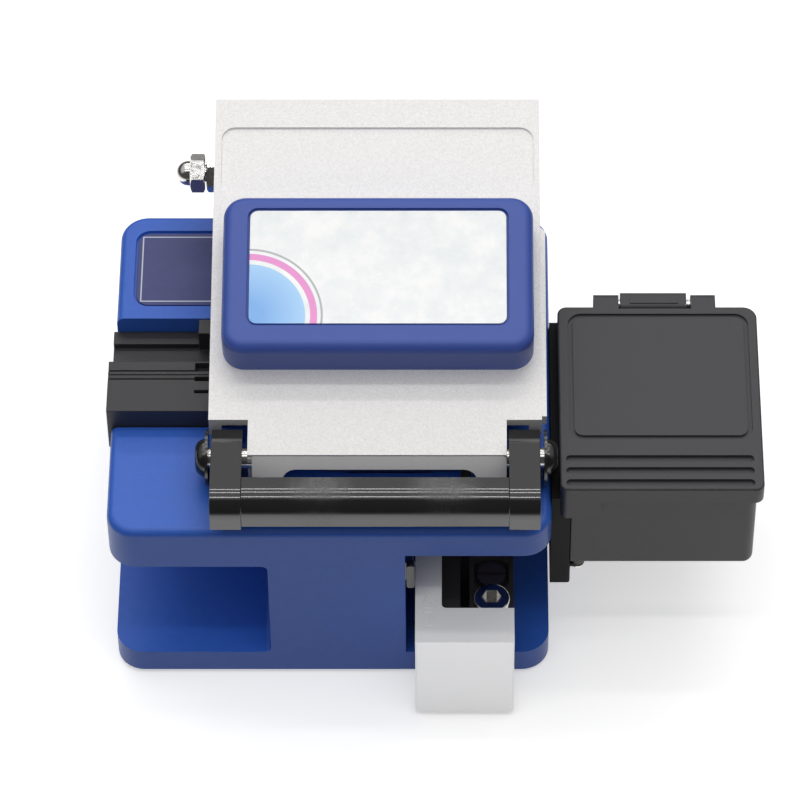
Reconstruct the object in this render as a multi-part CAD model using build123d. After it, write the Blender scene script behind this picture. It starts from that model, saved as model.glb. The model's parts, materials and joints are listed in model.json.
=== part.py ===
from build123d import *
import os
from math import cos, radians, sin, sqrt, tan

os.makedirs("parts", exist_ok=True)

# Fibre cleaver. Millimetres, X to the right, Y to the back, Z up.
# The origin is the centre of the body's footprint on the bench.

# Fits
slide_gap = 0.15
turn_gap = 0.05
screw_gap = 0.03
seat_gap = 0.2
pull = 1.0

# Body block
body_width = 63.0
body_depth = 58.6
deck_z = 34.4
body_corner = 4.0
deck_round = 1.2
base_chamfer = 0.4
base_slab = 4.8
left_slab = 8.1
right_slab = 5.5
left_recess_width = 22.6
right_recess_width = 20.8
recess_back_wall = 3.8
recess_round = 1.0

# Rubber sheet under the base
pad_proud = 0.5
pad_thickness = 1.5
pad_inset = 3.0
pad_corner = 2.5

# Label plates
label_gap = 0.35
deck_label_inset = 2.3
deck_label_length = 13.6
deck_label_width = 14.3
deck_label_back = 3.1
deck_label_depth = 0.5
deck_label_thickness = 0.3
label_corner = 2.2

# Fibre line and clamps
fibre_from_front = 24.9
fibre_above_deck = 3.0
pad_rubber = 0.8
clamp_pad_width = 4.2
clamp_pad_depth = 5.0
clamp_pad_gap = 2.8
clamp_base_rim = 1.0
clamp_base_sink = 1.0
clamp_base_lift = 0.8
clamp_base_margin = 2.6
clamp_corner = 0.5
clamp_slot_sink = 2.0

# Fibre adapter in its deck groove
groove_front = 6.1
groove_back = 13.94
groove_depth = 4.9
groove_length = 19.6
adapter_proud = 0.5
adapter_length = 16.4
adapter_floor = 1.0
adapter_lip = 1.0
adapter_lip_width = 2.35
adapter_top = 3.6
adapter_block_back = 1.3
adapter_step_length = 3.9
adapter_heel = 2.65
adapter_slit = 0.4
adapter_slit_depth = 1.8
adapter_shelf_back = 3.35
adapter_shelf_drop = 0.3
adapter_slots = ((2.3, 1.5), (0.0, 0.9), (-2.4, 0.55))
adapter_slot_depth = 1.6
fibre_step_back = 0.75
fibre_step = 0.2
fibre_groove_half = 0.2
fibre_groove_depth = 0.6

# Blade and slider
blade_radius = 10.5
blade_thickness = 0.8
blade_from_right = 12.15
blade_bore = 2.5
blade_edge = 0.45
blade_side_gap = 0.1
slot_side_gap = 0.35
slot_end_gap = 0.5
slider_travel = 20.0
hub_shoulder = 3.6
washer_radius = 4.0
washer_thickness = 0.8
hub_pocket_gap = 0.6

# Linear rail and shoe
rail_thickness = 1.1
rail_height = 5.2
rail_neck = 4.0
rail_below_slab = 2.7
stop_thickness = 1.1
stop_proud = 0.3
stop_corner = 0.5
shoe_front = 13.5
shoe_back = 14.4
shoe_width = 4.9
shoe_wall = 1.6
shoe_off_pillar = 0.3

# Carriage and push lever
carriage_lift = 0.9
carriage_plate = 2.3
web_thickness = 2.7
web_low_height = 5.7
lever_left_gap = 1.4
lever_arm_width = 3.8
lever_width = 14.2
lever_top_below_deck = 16.0
lever_foot_front = 7.56
lever_foot_depth = 6.04
lever_foot_lift = 1.0
lever_inner_round = 0.7
lever_outer_chamfer = 0.25
lever_front_screw = 6.0
lever_arm_reach = 14.0
block_groove = 1.3
block_back = 14.0
dial_width = 5.0
dial_from_front = 9.3
dial_sink = 1.2
dial_radius = 2.1
dial_shaft = 0.9
dial_corner = 1.0
dial_slot = 0.6
dial_slot_depth = 0.6
dial_below_block = 0.2
clamp_screw_from_foot = 2.85
clamp_head_radius = 2.58
clamp_head_height = 2.8
clamp_head_round = 0.3

# Lid
lid_tilt = 12.0
lid_front = 8.86
lid_front_above_deck = 6.5
lid_left = 14.4
lid_right = 1.4
lid_wall = 1.8
tongue_left_step = 5.6
tongue_right_step = 5.0
tongue_length = 5.5
lid_flange_above_deck = 0.6
lid_side_above_deck = 3.8
lid_side_front_step = 0.35
lid_tail = 9.19
lid_back_wall = 4.0
lid_heel_angle = 50.0
lid_rib = 0.7
lid_rib_drop = 0.3
lid_rib_height = 2.4
lid_rib_front = 6.2
lid_rib_back = 36.5
notch_left = 4.8
notch_right = 4.1
notch_height = 2.5
notch_round = 2.0
pivot_boss = 3.6
pivot_boss_back = 3.7
panel_length = 11.4
panel_back = 4.7
panel_left = 1.0
panel_right = 0.9
panel_corner = 2.0
panel_depth = 0.35

# Lid hinge
hinge_below_lid = 5.7
hinge_from_back = 1.3
hinge_pin = 1.5
hinge_thread = 1.25
lug_eye = 3.5
lug_width = 3.7
lug_gap = 0.3
bracket_thickness = 2.4
bracket_drop = 7.5
bracket_top = 1.6
nut_flats = 5.0
nut_bevel_start = 0.98
nut_bevel_angle = 30.0
jam_nut_height = 1.35
jam_nut_turn = -7.0
cap_nut_gap = 0.2
cap_nut_hex = 2.2
cap_nut_turn = 30.0
cap_nut_dome = 1.85
cap_nut_length = 4.35

# Cap on the lid
cap_left = 1.8
cap_right = 1.1
cap_start = 13.4
cap_length = 24.8
cap_height = 6.5
cap_corner = 3.2
cap_round = 1.5
cap_label_side = 3.5
cap_label_front = 3.8
cap_label_back = 2.2
cap_label_depth = 0.5
cap_label_thickness = 0.35
cap_label_corner = 1.5
cap_pocket_roof = 1.5
cap_pocket_half = 3.0
cap_pocket_wall = 1.1
cap_pocket_length = 5.2
cap_screw_inset = 4.0
cap_screw_reach = 4.0

# Upper clamp and anvil
clamp_closed_gap = 0.25
upper_block_front = 4.5
upper_block_back = 8.4
upper_block_margin = 1.2
clamp_screw_back = 6.0
anvil_width = 1.6
anvil_depth = 3.0
anvil_foot = 2.8
anvil_stem = 0.9
anvil_foot_round = 0.4
anvil_above_fibre = 0.3
anvil_travel = 1.0
bush_radius = 1.9
bush_above_lid = 0.6
collar_radius = 1.45
collar_height = 0.8
spring_length = 3.0
spring_wire = 0.3
spring_radius = 1.15
spring_turns = 4
spring_seat = 1.75
spring_end_gap = 0.05
spring_guide = 0.7
spring_facets = 6

# Magnet and keeper
keeper_left = 10.8
keeper_width = 18.3
keeper_depth = 3.2
magnet_width = 12.0
magnet_depth = 5.0
magnet_height = 3.0

# Release bar
bar_arm_width = 4.4
bar_arm_gap = 0.3
bar_reach = 9.93
bar_depth = 3.5
bar_rise = 4.0
bar_under = 3.7
bar_round = 2.0
bar_arm_extra = 0.4
bar_tail = 3.5
bar_tail_rise = 1.2
bar_tail_drop = 2.9
bar_heel = 1.1
pivot_above_deck = 4.0
pivot_from_lid_front = 1.37
left_shank = 0.95
right_shank = 0.6
bar_washer = 4.0
bar_washer_thickness = 0.4
button_radius = 2.68
button_height = 1.5
button_rim = 0.35
button_socket = 1.1
pivot_screw_short = 0.3

# Screws
m3 = 1.5
m25 = 1.25
m2 = 1.0
rail_screw = 0.7
screw_reach = 6.0
rail_screw_reach = 3.0
rail_screw_head = 0.6
flat_head = 1.8
pan_head = 1.9
pan_head_height = 1.3
head_gap = 0.2
blade_screw_socket = 1.1

# Scrap bin
bin_bracket_wall = 2.9
bin_front = 4.91
bin_depth = 33.42
bin_bracket_foot = 4.39
bin_bracket_back = 0.3
bin_bracket_corner = 0.4
bin_bracket_screw_inset = 6.0
bin_above_deck = 3.6
bin_lid_wall = 1.4
bin_lid_lip = 3.1
bin_lip_wall = 0.75
bin_running_gap = 0.1
bin_width = 26.25
bin_height = 17.55
bin_wall = 1.2
bin_floor = 1.4
bin_corner = 1.5
bin_floor_round = 1.2
bin_tab_half = 0.95
bin_tab_thickness = 0.65
bin_boss = 1.1
bin_boss_height = 4.0
bin_foot_screw = 0.6
bin_foot_screw_reach = 3.0
bin_foot_head = 0.85
bin_foot_head_height = 0.5
bin_lid_left = 1.75
bin_lid_back = 0.69
bin_lid_front_corner = 1.2
bin_lid_left_corner = 1.3
bin_lid_right_corner = 2.0
bin_lid_round = 0.3
bin_frame_width = 0.7
bin_frame_depth = 0.35
bin_frame_left = 1.45
bin_frame_right = 1.3
bin_frame_back = 1.34
bin_frame_front = 8.99
bin_frame_corner = 2.0
bin_groove_width = 1.23
bin_groove_depth = 0.5
bin_groove_pitch = 2.13
bin_groove_count = 3
bin_groove_back = 5.52
bin_groove_left = 0.88
bin_groove_right = 1.33
bin_hinge_pin = 0.8
bin_hinge_eye = 1.45
bin_hinge_back = 2.15
bin_tab_left = 3.52
bin_tab_one = 3.65
bin_tab_two = 3.56
bin_knuckle_gap = 0.24
bin_knuckle_right_gap = 0.62
bin_knuckle = 9.6
bin_knuckle_reach = 1.6
bin_knuckle_front = 1.55
bin_knuckle_top = 1.3
bin_knuckle_round = 0.8
bin_knuckle_clear = 1.85
bin_rib_inset = 1.4
bin_rib_width = 7.0
bin_rib_front = 0.78
bin_rib_back = 0.45
bin_rib_rise = 0.15
bin_latch_width = 5.8
bin_latch_drop = 3.63
bin_latch_round = 1.0

# Places that follow from the sizes
body_left = -body_width / 2
body_right = body_width / 2
body_front = -body_depth / 2
body_back = body_depth / 2
base_top = pad_proud + base_slab
left_ceiling = deck_z - left_slab
right_ceiling = deck_z - right_slab
pillar_left = body_left + left_recess_width
pillar_right = body_right - right_recess_width
recess_back = body_back - recess_back_wall
fibre_y = body_front + fibre_from_front
fibre_z = deck_z + fibre_above_deck

blade_x = body_right - blade_from_right
blade_left = blade_x - blade_thickness / 2
blade_right = blade_x + blade_thickness / 2
blade_y = fibre_y + slider_travel / 2
blade_z = fibre_z - blade_radius
rail_top = right_ceiling - rail_below_slab
rail_z = rail_top - rail_height / 2
rail_face = pillar_right + rail_thickness
shoe_y0 = blade_y - shoe_front
shoe_y1 = blade_y + shoe_back
rail_y0 = shoe_y0 - slider_travel - seat_gap
rail_y1 = shoe_y1 + seat_gap
lever_x0 = pillar_right + lever_left_gap
lever_x1 = lever_x0 + lever_width
arm_x1 = lever_x0 + lever_arm_width
foot_y0 = body_front - lever_foot_front
foot_y1 = foot_y0 + lever_foot_depth
lever_top = deck_z - lever_top_below_deck
plate_z0 = base_top + carriage_lift
plate_z1 = plate_z0 + carriage_plate
web_x0 = arm_x1
web_x1 = web_x0 + web_thickness
block_x0 = web_x1 + block_groove
block_top = plate_z1 + web_low_height

tilt = radians(lid_tilt)
lid_y = body_front + lid_front
lid_z = deck_z + lid_front_above_deck
lid_plane = Plane(origin=(0, lid_y, lid_z), x_dir=(1, 0, 0), z_dir=(0, -sin(tilt), cos(tilt)))
lid_x0 = body_left + lid_left
lid_x1 = body_right - lid_right
tongue_x0 = lid_x0 + tongue_left_step
tongue_x1 = lid_x1 - tongue_right_step
hinge_y = body_back - hinge_from_back
hinge_u = (hinge_y - lid_y - hinge_below_lid * sin(tilt)) / cos(tilt)
hinge_z = lid_z + hinge_u * sin(tilt) - hinge_below_lid * cos(tilt)
lid_length = hinge_u + lid_tail
lug_x0 = lid_x0 + lid_wall + lug_gap
lug_x1 = lid_x1 - lid_wall - lug_gap
cap_x0 = lid_x0 + cap_left
cap_x1 = lid_x1 - cap_right

pivot_y = lid_y + pivot_from_lid_front
pivot_z = deck_z + pivot_above_deck
bar_y0 = pivot_y - bar_reach
left_arm_x1 = tongue_x0 - left_shank
left_arm_x0 = left_arm_x1 - bar_arm_width
right_arm_x0 = tongue_x1 + bar_arm_gap
right_arm_x1 = right_arm_x0 + bar_arm_width

clamp_x0 = blade_x - clamp_pad_gap / 2 - clamp_pad_width
clamp_x1 = blade_x + clamp_pad_gap / 2
keeper_x0 = tongue_x0 + keeper_left
keeper_x1 = keeper_x0 + keeper_width
keeper_y = lid_y + lid_wall
nut_corner = nut_flats / sqrt(3)

bin_y0 = body_front + bin_front
bin_y1 = bin_y0 + bin_depth
bin_x0 = body_right + bin_bracket_wall
bin_x1 = bin_x0 + bin_width
bin_lid_top = deck_z + bin_above_deck
bin_rim = bin_lid_top - bin_lid_wall - bin_running_gap
bin_z0 = bin_rim - bin_height
bin_lip_bottom = bin_lid_top - bin_lid_lip
bin_lid_x0 = bin_x0 - bin_lid_left
bin_lid_x1 = bin_x1 + bin_running_gap + bin_lip_wall
bin_wall_y0 = bin_y0 + bin_lip_wall + bin_running_gap
bin_wall_y1 = bin_y1 - bin_lip_wall - bin_running_gap
bin_lid_y1 = bin_wall_y1 + bin_lid_back
bin_hinge_y = bin_wall_y1 + bin_hinge_back
bin_hinge_z = bin_lid_top - bin_hinge_eye
knuckle_x0 = bin_x0 + bin_tab_left + bin_tab_one + bin_knuckle_gap
knuckle_x1 = knuckle_x0 + bin_knuckle
pin_hole = bin_hinge_pin + turn_gap


def lid_height(y, depth=0.0):
    """Height of the lid's top plane at y, or of a plane that lies depth below it."""
    return lid_z + (y - lid_y) * tan(tilt) - depth / cos(tilt)


def lid_point(u, w):
    """The (y, z) place of a point u along the lid's slope and w above its top plane."""
    return (lid_y + u * cos(tilt) - w * sin(tilt), lid_z + u * sin(tilt) + w * cos(tilt))


def upright(x0, x1, y0, y1, z0, z1, corner=0.0):
    """Block between two heights, with rounded plan corners where a radius is given."""
    plan = RectangleRounded(x1 - x0, y1 - y0, corner) if corner else Rectangle(x1 - x0, y1 - y0)
    return extrude(Pos((x0 + x1) / 2, (y0 + y1) / 2, z0) * plan, z1 - z0)


def on_lid(x0, x1, u0, u1, w0, w1, corner=0.0):
    """The same as upright, in the lid's own tilted frame."""
    return lid_plane * upright(x0, x1, u0, u1, w0, w1, corner)


def across(x0, x1, outline):
    """Solid between two x values from a side outline drawn in (y, z)."""
    side = Plane(origin=(x0, 0, 0), x_dir=(0, 1, 0), z_dir=(1, 0, 0))
    return extrude(side * outline, x1 - x0, dir=(1, 0, 0))


def along(y0, y1, outline):
    """Solid between two y values from a front outline drawn in (x, z)."""
    front = Plane(origin=(0, y1, 0), x_dir=(1, 0, 0), z_dir=(0, -1, 0))
    return extrude(front * outline, y1 - y0, dir=(0, -1, 0))


def rod_x(x0, x1, y, z, radius):
    return across(x0, x1, Pos(y, z) * Circle(radius))


def rod_y(y0, y1, x, z, radius):
    return along(y0, y1, Pos(x, z) * Circle(radius))


def rod_z(z0, z1, x, y, radius):
    return extrude(Pos(x, y, z0) * Circle(radius), z1 - z0)


def rod_lid(w0, w1, x, u, radius):
    return lid_plane * rod_z(w0, w1, x, u, radius)


def hex_socket(plane, radius, depth):
    """Hexagonal key socket, sunk from a plane."""
    return extrude(plane * RegularPolygon(radius, 6), -depth)


def body_frame():
    block = upright(body_left, body_right, body_front, body_back, pad_proud, deck_z, body_corner)
    block = fillet(block.edges().group_by(Axis.Z)[-1], deck_round)
    block = chamfer(block.edges().group_by(Axis.Z)[0], base_chamfer)
    out = body_corner + pull
    left_outline = RectangleRounded(left_recess_width + out, left_ceiling - base_top, recess_round)
    left_centre = Pos(pillar_left - (left_recess_width + out) / 2, (left_ceiling + base_top) / 2)
    block -= along(body_front - pull, body_back + pull, left_centre * left_outline)
    right_outline = Rectangle(right_recess_width + out, right_ceiling - base_top)
    right_centre = Pos(pillar_right + (right_recess_width + out) / 2, (right_ceiling + base_top) / 2)
    block -= along(body_front - pull, recess_back, right_centre * right_outline)
    block -= deck_cuts()
    block -= base_pad(grown=screw_gap)
    for place, radius in bracket_screw_places():
        block -= rod_y(body_back - screw_reach, body_back + pull, place[0], place[1], radius + screw_gap)
    for y in bin_bracket_screw_places():
        block -= rod_x(body_right - screw_reach, body_right + pull, y, bin_bracket_screw_z(), m25 + screw_gap)
    for y in rail_screw_places():
        block -= rod_x(pillar_right - rail_screw_reach, pillar_right + pull, y, rail_z, rail_screw + screw_gap)
    return block


def deck_cuts():
    """Adapter groove, label recess, blade slot, clamp seat and magnet pocket of the deck."""
    above = deck_z + pull
    groove_z = deck_z - groove_depth
    y0 = fibre_y - groove_front
    y1 = fibre_y + groove_back
    cuts = upright(body_left - pull, body_left + groove_length, y0, y1, groove_z, above)
    label_x0 = body_left + deck_label_inset
    label_y1 = body_back - deck_label_back
    label_y0 = label_y1 - deck_label_width
    label_z = deck_z - deck_label_depth
    label_x1 = label_x0 + deck_label_length
    cuts += upright(label_x0, label_x1, label_y0, label_y1, label_z, above, label_corner)
    chord = sqrt(blade_radius**2 - (right_ceiling - blade_z) ** 2) + slot_end_gap
    slot_x0 = blade_left - slot_side_gap
    slot_x1 = blade_right + slot_side_gap
    slot_y0 = blade_y - slider_travel - chord
    cuts += upright(slot_x0, slot_x1, slot_y0, blade_y + chord, right_ceiling - pull, above)
    hub_x1 = blade_right + washer_thickness + button_height + hub_pocket_gap + blade_side_gap
    hub_y0 = blade_y - slider_travel - washer_radius - hub_pocket_gap
    hub_y1 = blade_y + washer_radius + hub_pocket_gap
    hub_z = blade_z + washer_radius + hub_pocket_gap
    hub_x0 = web_x0 - hub_pocket_gap
    cuts += upright(hub_x0, hub_x1, hub_y0, hub_y1, right_ceiling - pull, hub_z)
    cuts += clamp_base_blank(screw_gap)
    cuts += magnet_block(screw_gap)
    return cuts


def magnet_block(grown=0.0):
    x0 = (keeper_x0 + keeper_x1 - magnet_width) / 2
    y0 = keeper_y
    z0 = deck_z - magnet_height
    return upright(x0 - grown, x0 + magnet_width + grown, y0 - grown, y0 + magnet_depth + grown, z0, deck_z)


def base_pad(grown=0.0):
    x = body_width / 2 - pad_inset + grown
    y = body_depth / 2 - pad_inset + grown
    bottom = 0 if grown == 0 else -pull
    return upright(-x, x, -y, y, bottom, pad_thickness, pad_corner)


def deck_label_plate():
    x0 = body_left + deck_label_inset + label_gap
    x1 = x0 + deck_label_length - 2 * label_gap
    y1 = body_back - deck_label_back - label_gap
    y0 = y1 - deck_label_width + 2 * label_gap
    z0 = deck_z - deck_label_depth
    return upright(x0, x1, y0, y1, z0, z0 + deck_label_thickness, label_corner - label_gap)


def bracket_screw_places():
    """Centres in (x, z), and radii, of the screws that hold the hinge bracket."""
    z = deck_z - bracket_drop / 2
    middle = (lug_x0 + lug_x1) / 2
    reach = (lug_x1 - lug_x0) / 2 - lug_width
    return [((x, z), m3) for x in (middle - reach, middle, middle + reach)]


def hinge_bracket():
    y1 = body_back + bracket_thickness
    plate = upright(lug_x0, lug_x1, body_back, y1, deck_z - bracket_drop, deck_z + bracket_top)
    for x0 in (lug_x0, lug_x1 - lug_width):
        eye = Pos(hinge_y, hinge_z) * Circle(lug_eye)
        foot_z = deck_z + bracket_top / 2
        foot = Pos((hinge_y - lug_eye + y1) / 2, foot_z) * Rectangle(y1 - hinge_y + lug_eye, bracket_top)
        lug = across(x0, x0 + lug_width, make_hull((eye + foot).edges()))
        plate += lug
        plate -= rod_x(x0 - pull, x0 + lug_width + pull, hinge_y, hinge_z, hinge_pin + turn_gap)
    for place, radius in bracket_screw_places():
        plate -= rod_y(body_back - pull, y1 + pull, place[0], place[1], radius + screw_gap)
    return plate


def hinge_bracket_screws():
    y1 = body_back + bracket_thickness
    head_height = 2 * m3
    group = []
    for place, radius in bracket_screw_places():
        screw = rod_y(y1, y1 + head_height, place[0], place[1], button_radius)
        screw += rod_y(body_back - screw_reach + pull, y1, place[0], place[1], radius)
        face = Plane(origin=(place[0], y1 + head_height, place[1]), x_dir=(1, 0, 0), z_dir=(0, 1, 0))
        screw -= hex_socket(face, m3, m3)
        group.append(screw)
    return Compound(children=group)


def hinge_shaft():
    nut_end = lid_x0 - jam_nut_height - cap_nut_gap - cap_nut_length / 2
    shaft = rod_x(lid_x0, lid_x1, hinge_y, hinge_z, hinge_pin)
    shaft += rod_x(nut_end, lid_x0, hinge_y, hinge_z, hinge_thread)
    slot = Pos(hinge_y, hinge_z) * Rectangle(2 * hinge_pin + pull, hinge_pin / 3)
    shaft -= across(lid_x1 - hinge_pin / 2, lid_x1 + pull, slot)
    return shaft


def hinge_jam_nut():
    x0 = lid_x0 - jam_nut_height
    nut = hexagon_nut(x0, lid_x0, jam_nut_turn)
    return nut - rod_x(x0 - pull, lid_x0 + pull, hinge_y, hinge_z, hinge_thread + screw_gap)


def hexagon_nut(x0, x1, turn):
    """Hexagon along X on the hinge axis, its corners bevelled at both ends."""
    outline = Pos(hinge_y, hinge_z) * RegularPolygon(nut_corner, 6, rotation=turn)
    flat = nut_flats / 2 * nut_bevel_start
    rim = nut_corner + screw_gap
    rise = (rim - flat) * tan(radians(nut_bevel_angle))
    blank = Polygon((x0, 0), (x0, flat), (x0 + rise, rim), (x1 - rise, rim), (x1, flat), (x1, 0))
    return across(x0, x1, outline) & (Pos(0, hinge_y, hinge_z) * revolve(Plane.XY * blank, Axis.X))


def hinge_cap_nut():
    x1 = lid_x0 - jam_nut_height - cap_nut_gap
    x0 = x1 - cap_nut_hex
    tip = x1 - cap_nut_length
    nut = hexagon_nut(x0, x1, cap_nut_turn)
    neck = tip + cap_nut_dome
    bulge = (neck - cap_nut_dome * cos(radians(45)), cap_nut_dome * sin(radians(45)))
    inside = x0 + cap_nut_hex / 2
    straight = Polyline((tip, 0), (inside, 0), (inside, cap_nut_dome), (neck, cap_nut_dome))
    half = make_face(straight + ThreePointArc((neck, cap_nut_dome), bulge, (tip, 0)))
    nut += Pos(0, hinge_y, hinge_z) * revolve(Plane.XY * half, Axis.X)
    bore_x0 = x1 - cap_nut_length / 2 - cap_nut_gap
    return nut - rod_x(bore_x0, x1 + pull, hinge_y, hinge_z, hinge_thread + screw_gap)


def fibre_adapter():
    """Extruded L-shaped adapter with the fibre's groove, stepped and notched at its inner end."""
    x0 = body_left - adapter_proud
    x1 = x0 + adapter_length
    step_x = x1 - adapter_step_length
    z0 = deck_z - groove_depth + turn_gap
    y0 = fibre_y - groove_front + slide_gap
    y1 = fibre_y + groove_back - slide_gap
    floor_z = z0 + adapter_floor
    lip_z = floor_z + adapter_lip
    top = deck_z + adapter_top
    back = fibre_y + adapter_block_back
    shelf_y = fibre_y + adapter_shelf_back
    profile = Polygon(
        (y0, z0),
        (y1, z0),
        (y1, lip_z),
        (y1 - adapter_lip_width, lip_z),
        (y1 - adapter_lip_width, floor_z),
        (shelf_y, floor_z),
        (shelf_y, top - adapter_shelf_drop),
        (back + adapter_slit, top - adapter_shelf_drop),
        (back + adapter_slit, top - adapter_slit_depth),
        (back, top - adapter_slit_depth),
        (back, top),
        (fibre_y + fibre_step_back, top),
        (fibre_y + fibre_step_back, top - fibre_step),
        (fibre_y + fibre_groove_half, top - fibre_step),
        (fibre_y, top - fibre_groove_depth),
        (fibre_y - fibre_groove_half, top),
        (y0, top),
    )
    adapter = across(x0, x1, profile)
    adapter += upright(step_x, x1, y1 - adapter_heel, y1, floor_z, deck_z)
    for offset, slot in adapter_slots:
        y = fibre_y + offset
        adapter -= upright(step_x, x1 + pull, y - slot / 2, y + slot / 2, top - adapter_slot_depth, top + pull)
    return adapter


def clamp_base_blank(grown=0.0):
    x0 = clamp_x0 - clamp_base_rim - grown
    x1 = clamp_x1 + clamp_pad_width + clamp_base_rim + grown
    half = clamp_pad_depth / 2 + clamp_base_margin + grown
    return upright(x0, x1, fibre_y - half, fibre_y + half, deck_z - clamp_base_sink, deck_z + clamp_base_lift)


def lower_clamp_blocks():
    """The two blocks beside the blade slot that carry the lower pads."""
    base = clamp_base_blank()
    post_top = fibre_z - pad_rubber
    half = clamp_pad_depth / 2
    for x0 in (clamp_x0, clamp_x1):
        base += upright(x0, x0 + clamp_pad_width, fibre_y - half, fibre_y + half, deck_z, post_top, clamp_corner)
    reach = half + clamp_base_margin
    slot_x0 = blade_left - slot_side_gap
    slot_x1 = blade_right + slot_side_gap
    low = deck_z - clamp_slot_sink
    cut = upright(slot_x0, slot_x1, fibre_y - reach - pull, fibre_y + reach + pull, low, fibre_z)
    return base - cut


def clamp_pads(z0, z1):
    half = clamp_pad_depth / 2
    pads = []
    for x0 in (clamp_x0, clamp_x1):
        pad = upright(x0, x0 + clamp_pad_width, fibre_y - half, fibre_y + half, z0, z1, clamp_corner)
        pads.append(pad)
    return Compound(children=pads)


def rail_screw_places():
    middle = (rail_y0 + rail_y1) / 2
    reach = (rail_y1 - rail_y0) / 2 - rail_height
    return [middle - reach, middle, middle + reach]


def rail_outline(grown=0.0):
    wide = rail_height / 2 + grown
    neck = rail_neck / 2 + grown
    face = rail_face + grown
    return Polygon(
        (pillar_right, rail_z - neck),
        (face, rail_z - wide),
        (face, rail_z + wide),
        (pillar_right, rail_z + neck),
    )


def slide_rail():
    rail = along(rail_y0, rail_y1, rail_outline())
    for y in rail_screw_places():
        rail -= rail_screw_shape(y, screw_gap)
    return rail


def rail_screw_shape(y, grown=0.0):
    """Countersunk screw, flush with the rail's face."""
    head = rail_screw * flat_head + grown
    shank = rail_screw + grown
    tip = pillar_right - rail_screw_reach + pull
    neck = rail_face - rail_screw_head
    outline = Polygon((tip, 0), (tip, shank), (neck, shank), (rail_face, head), (rail_face, 0))
    return Pos(0, y, rail_z) * revolve(Plane.XY * outline, Axis.X)


def rail_screws():
    return Compound(children=[rail_screw_shape(y) for y in rail_screw_places()])


def rail_stops():
    """Plates that close the rail's two ends and stop the shoe."""
    x0 = pillar_right + slide_gap
    x1 = rail_face + stop_proud
    wide = rail_height + 2 * screw_gap
    outline = Pos((x0 + x1) / 2, rail_z) * RectangleRounded(x1 - x0, wide, stop_corner)
    front = along(rail_y0 - stop_thickness, rail_y0, outline)
    back = along(rail_y1, rail_y1 + stop_thickness, outline)
    return Compound(children=[front, back])


def shoe_screw_places():
    inset = shoe_width / 2
    return [shoe_y0 + inset, shoe_y1 - inset]


def shoe_screw_shape(y, grown=0.0):
    """Countersunk screw, flush with the web's blade side."""
    tip = rail_face + slide_gap + shoe_wall
    head = m2 * flat_head + grown
    shank = m2 + grown
    outline = Polygon((tip, 0), (tip, shank), (web_x1 - m2, shank), (web_x1, head), (web_x1, 0))
    return Pos(0, y, rail_z) * revolve(Plane.XY * outline, Axis.X)


def slide_shoe():
    """Channel that rides the dovetail rail."""
    x0 = pillar_right + shoe_off_pillar
    half = rail_height / 2 + slide_gap + shoe_wall
    shoe = upright(x0, web_x0, shoe_y0, shoe_y1, rail_z - half, rail_z + half)
    shoe -= along(shoe_y0 - pull, shoe_y1 + pull, rail_outline(slide_gap))
    for y in shoe_screw_places():
        shoe -= shoe_screw_shape(y, screw_gap)
    return shoe


def shoe_screws():
    return Compound(children=[shoe_screw_shape(y) for y in shoe_screw_places()])


def lever_screw_places():
    x = (lever_x0 + arm_x1) / 2
    return [(x, foot_y1 + lever_front_screw), (x, blade_y)]


def lever_screw_shape(place, grown=0.0):
    x, y = place
    head = m25 * flat_head + grown
    shank = m25 + grown
    tip = plate_z1 + 5 * m25
    outline = Polygon((0, plate_z0), (head, plate_z0), (shank, plate_z0 + m25), (shank, tip), (0, tip))
    return Pos(x, y) * revolve(Plane.XZ * outline, Axis.Z)


def lever_screws():
    return Compound(children=[lever_screw_shape(place) for place in lever_screw_places()])


def push_lever():
    """L-shaped handle: a deep foot in front of the body and an arm that runs back under the deck."""
    x0, x1 = lever_x0, lever_x1
    arm_y1 = blade_y + lever_arm_reach - slider_travel / 2
    plan = Polygon((x0, foot_y0), (x1, foot_y0), (x1, foot_y1), (arm_x1, foot_y1), (arm_x1, arm_y1), (x0, arm_y1))
    lever = extrude(Pos(0, 0, plate_z1) * plan, lever_top - plate_z1)
    inner = lever.edges().filter_by(Axis.Z).sort_by_distance((arm_x1, foot_y1, lever_top))[0]
    lever = fillet(inner, lever_inner_round)
    lever += upright(x0, x1, foot_y0, foot_y1, lever_foot_lift, plate_z1)
    outer = lever.edges().filter_by(Axis.Z).group_by(Axis.Y)[0]
    lever = chamfer(outer, lever_outer_chamfer)
    for place in lever_screw_places():
        lever -= lever_screw_shape(place, screw_gap)
    return lever


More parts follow.
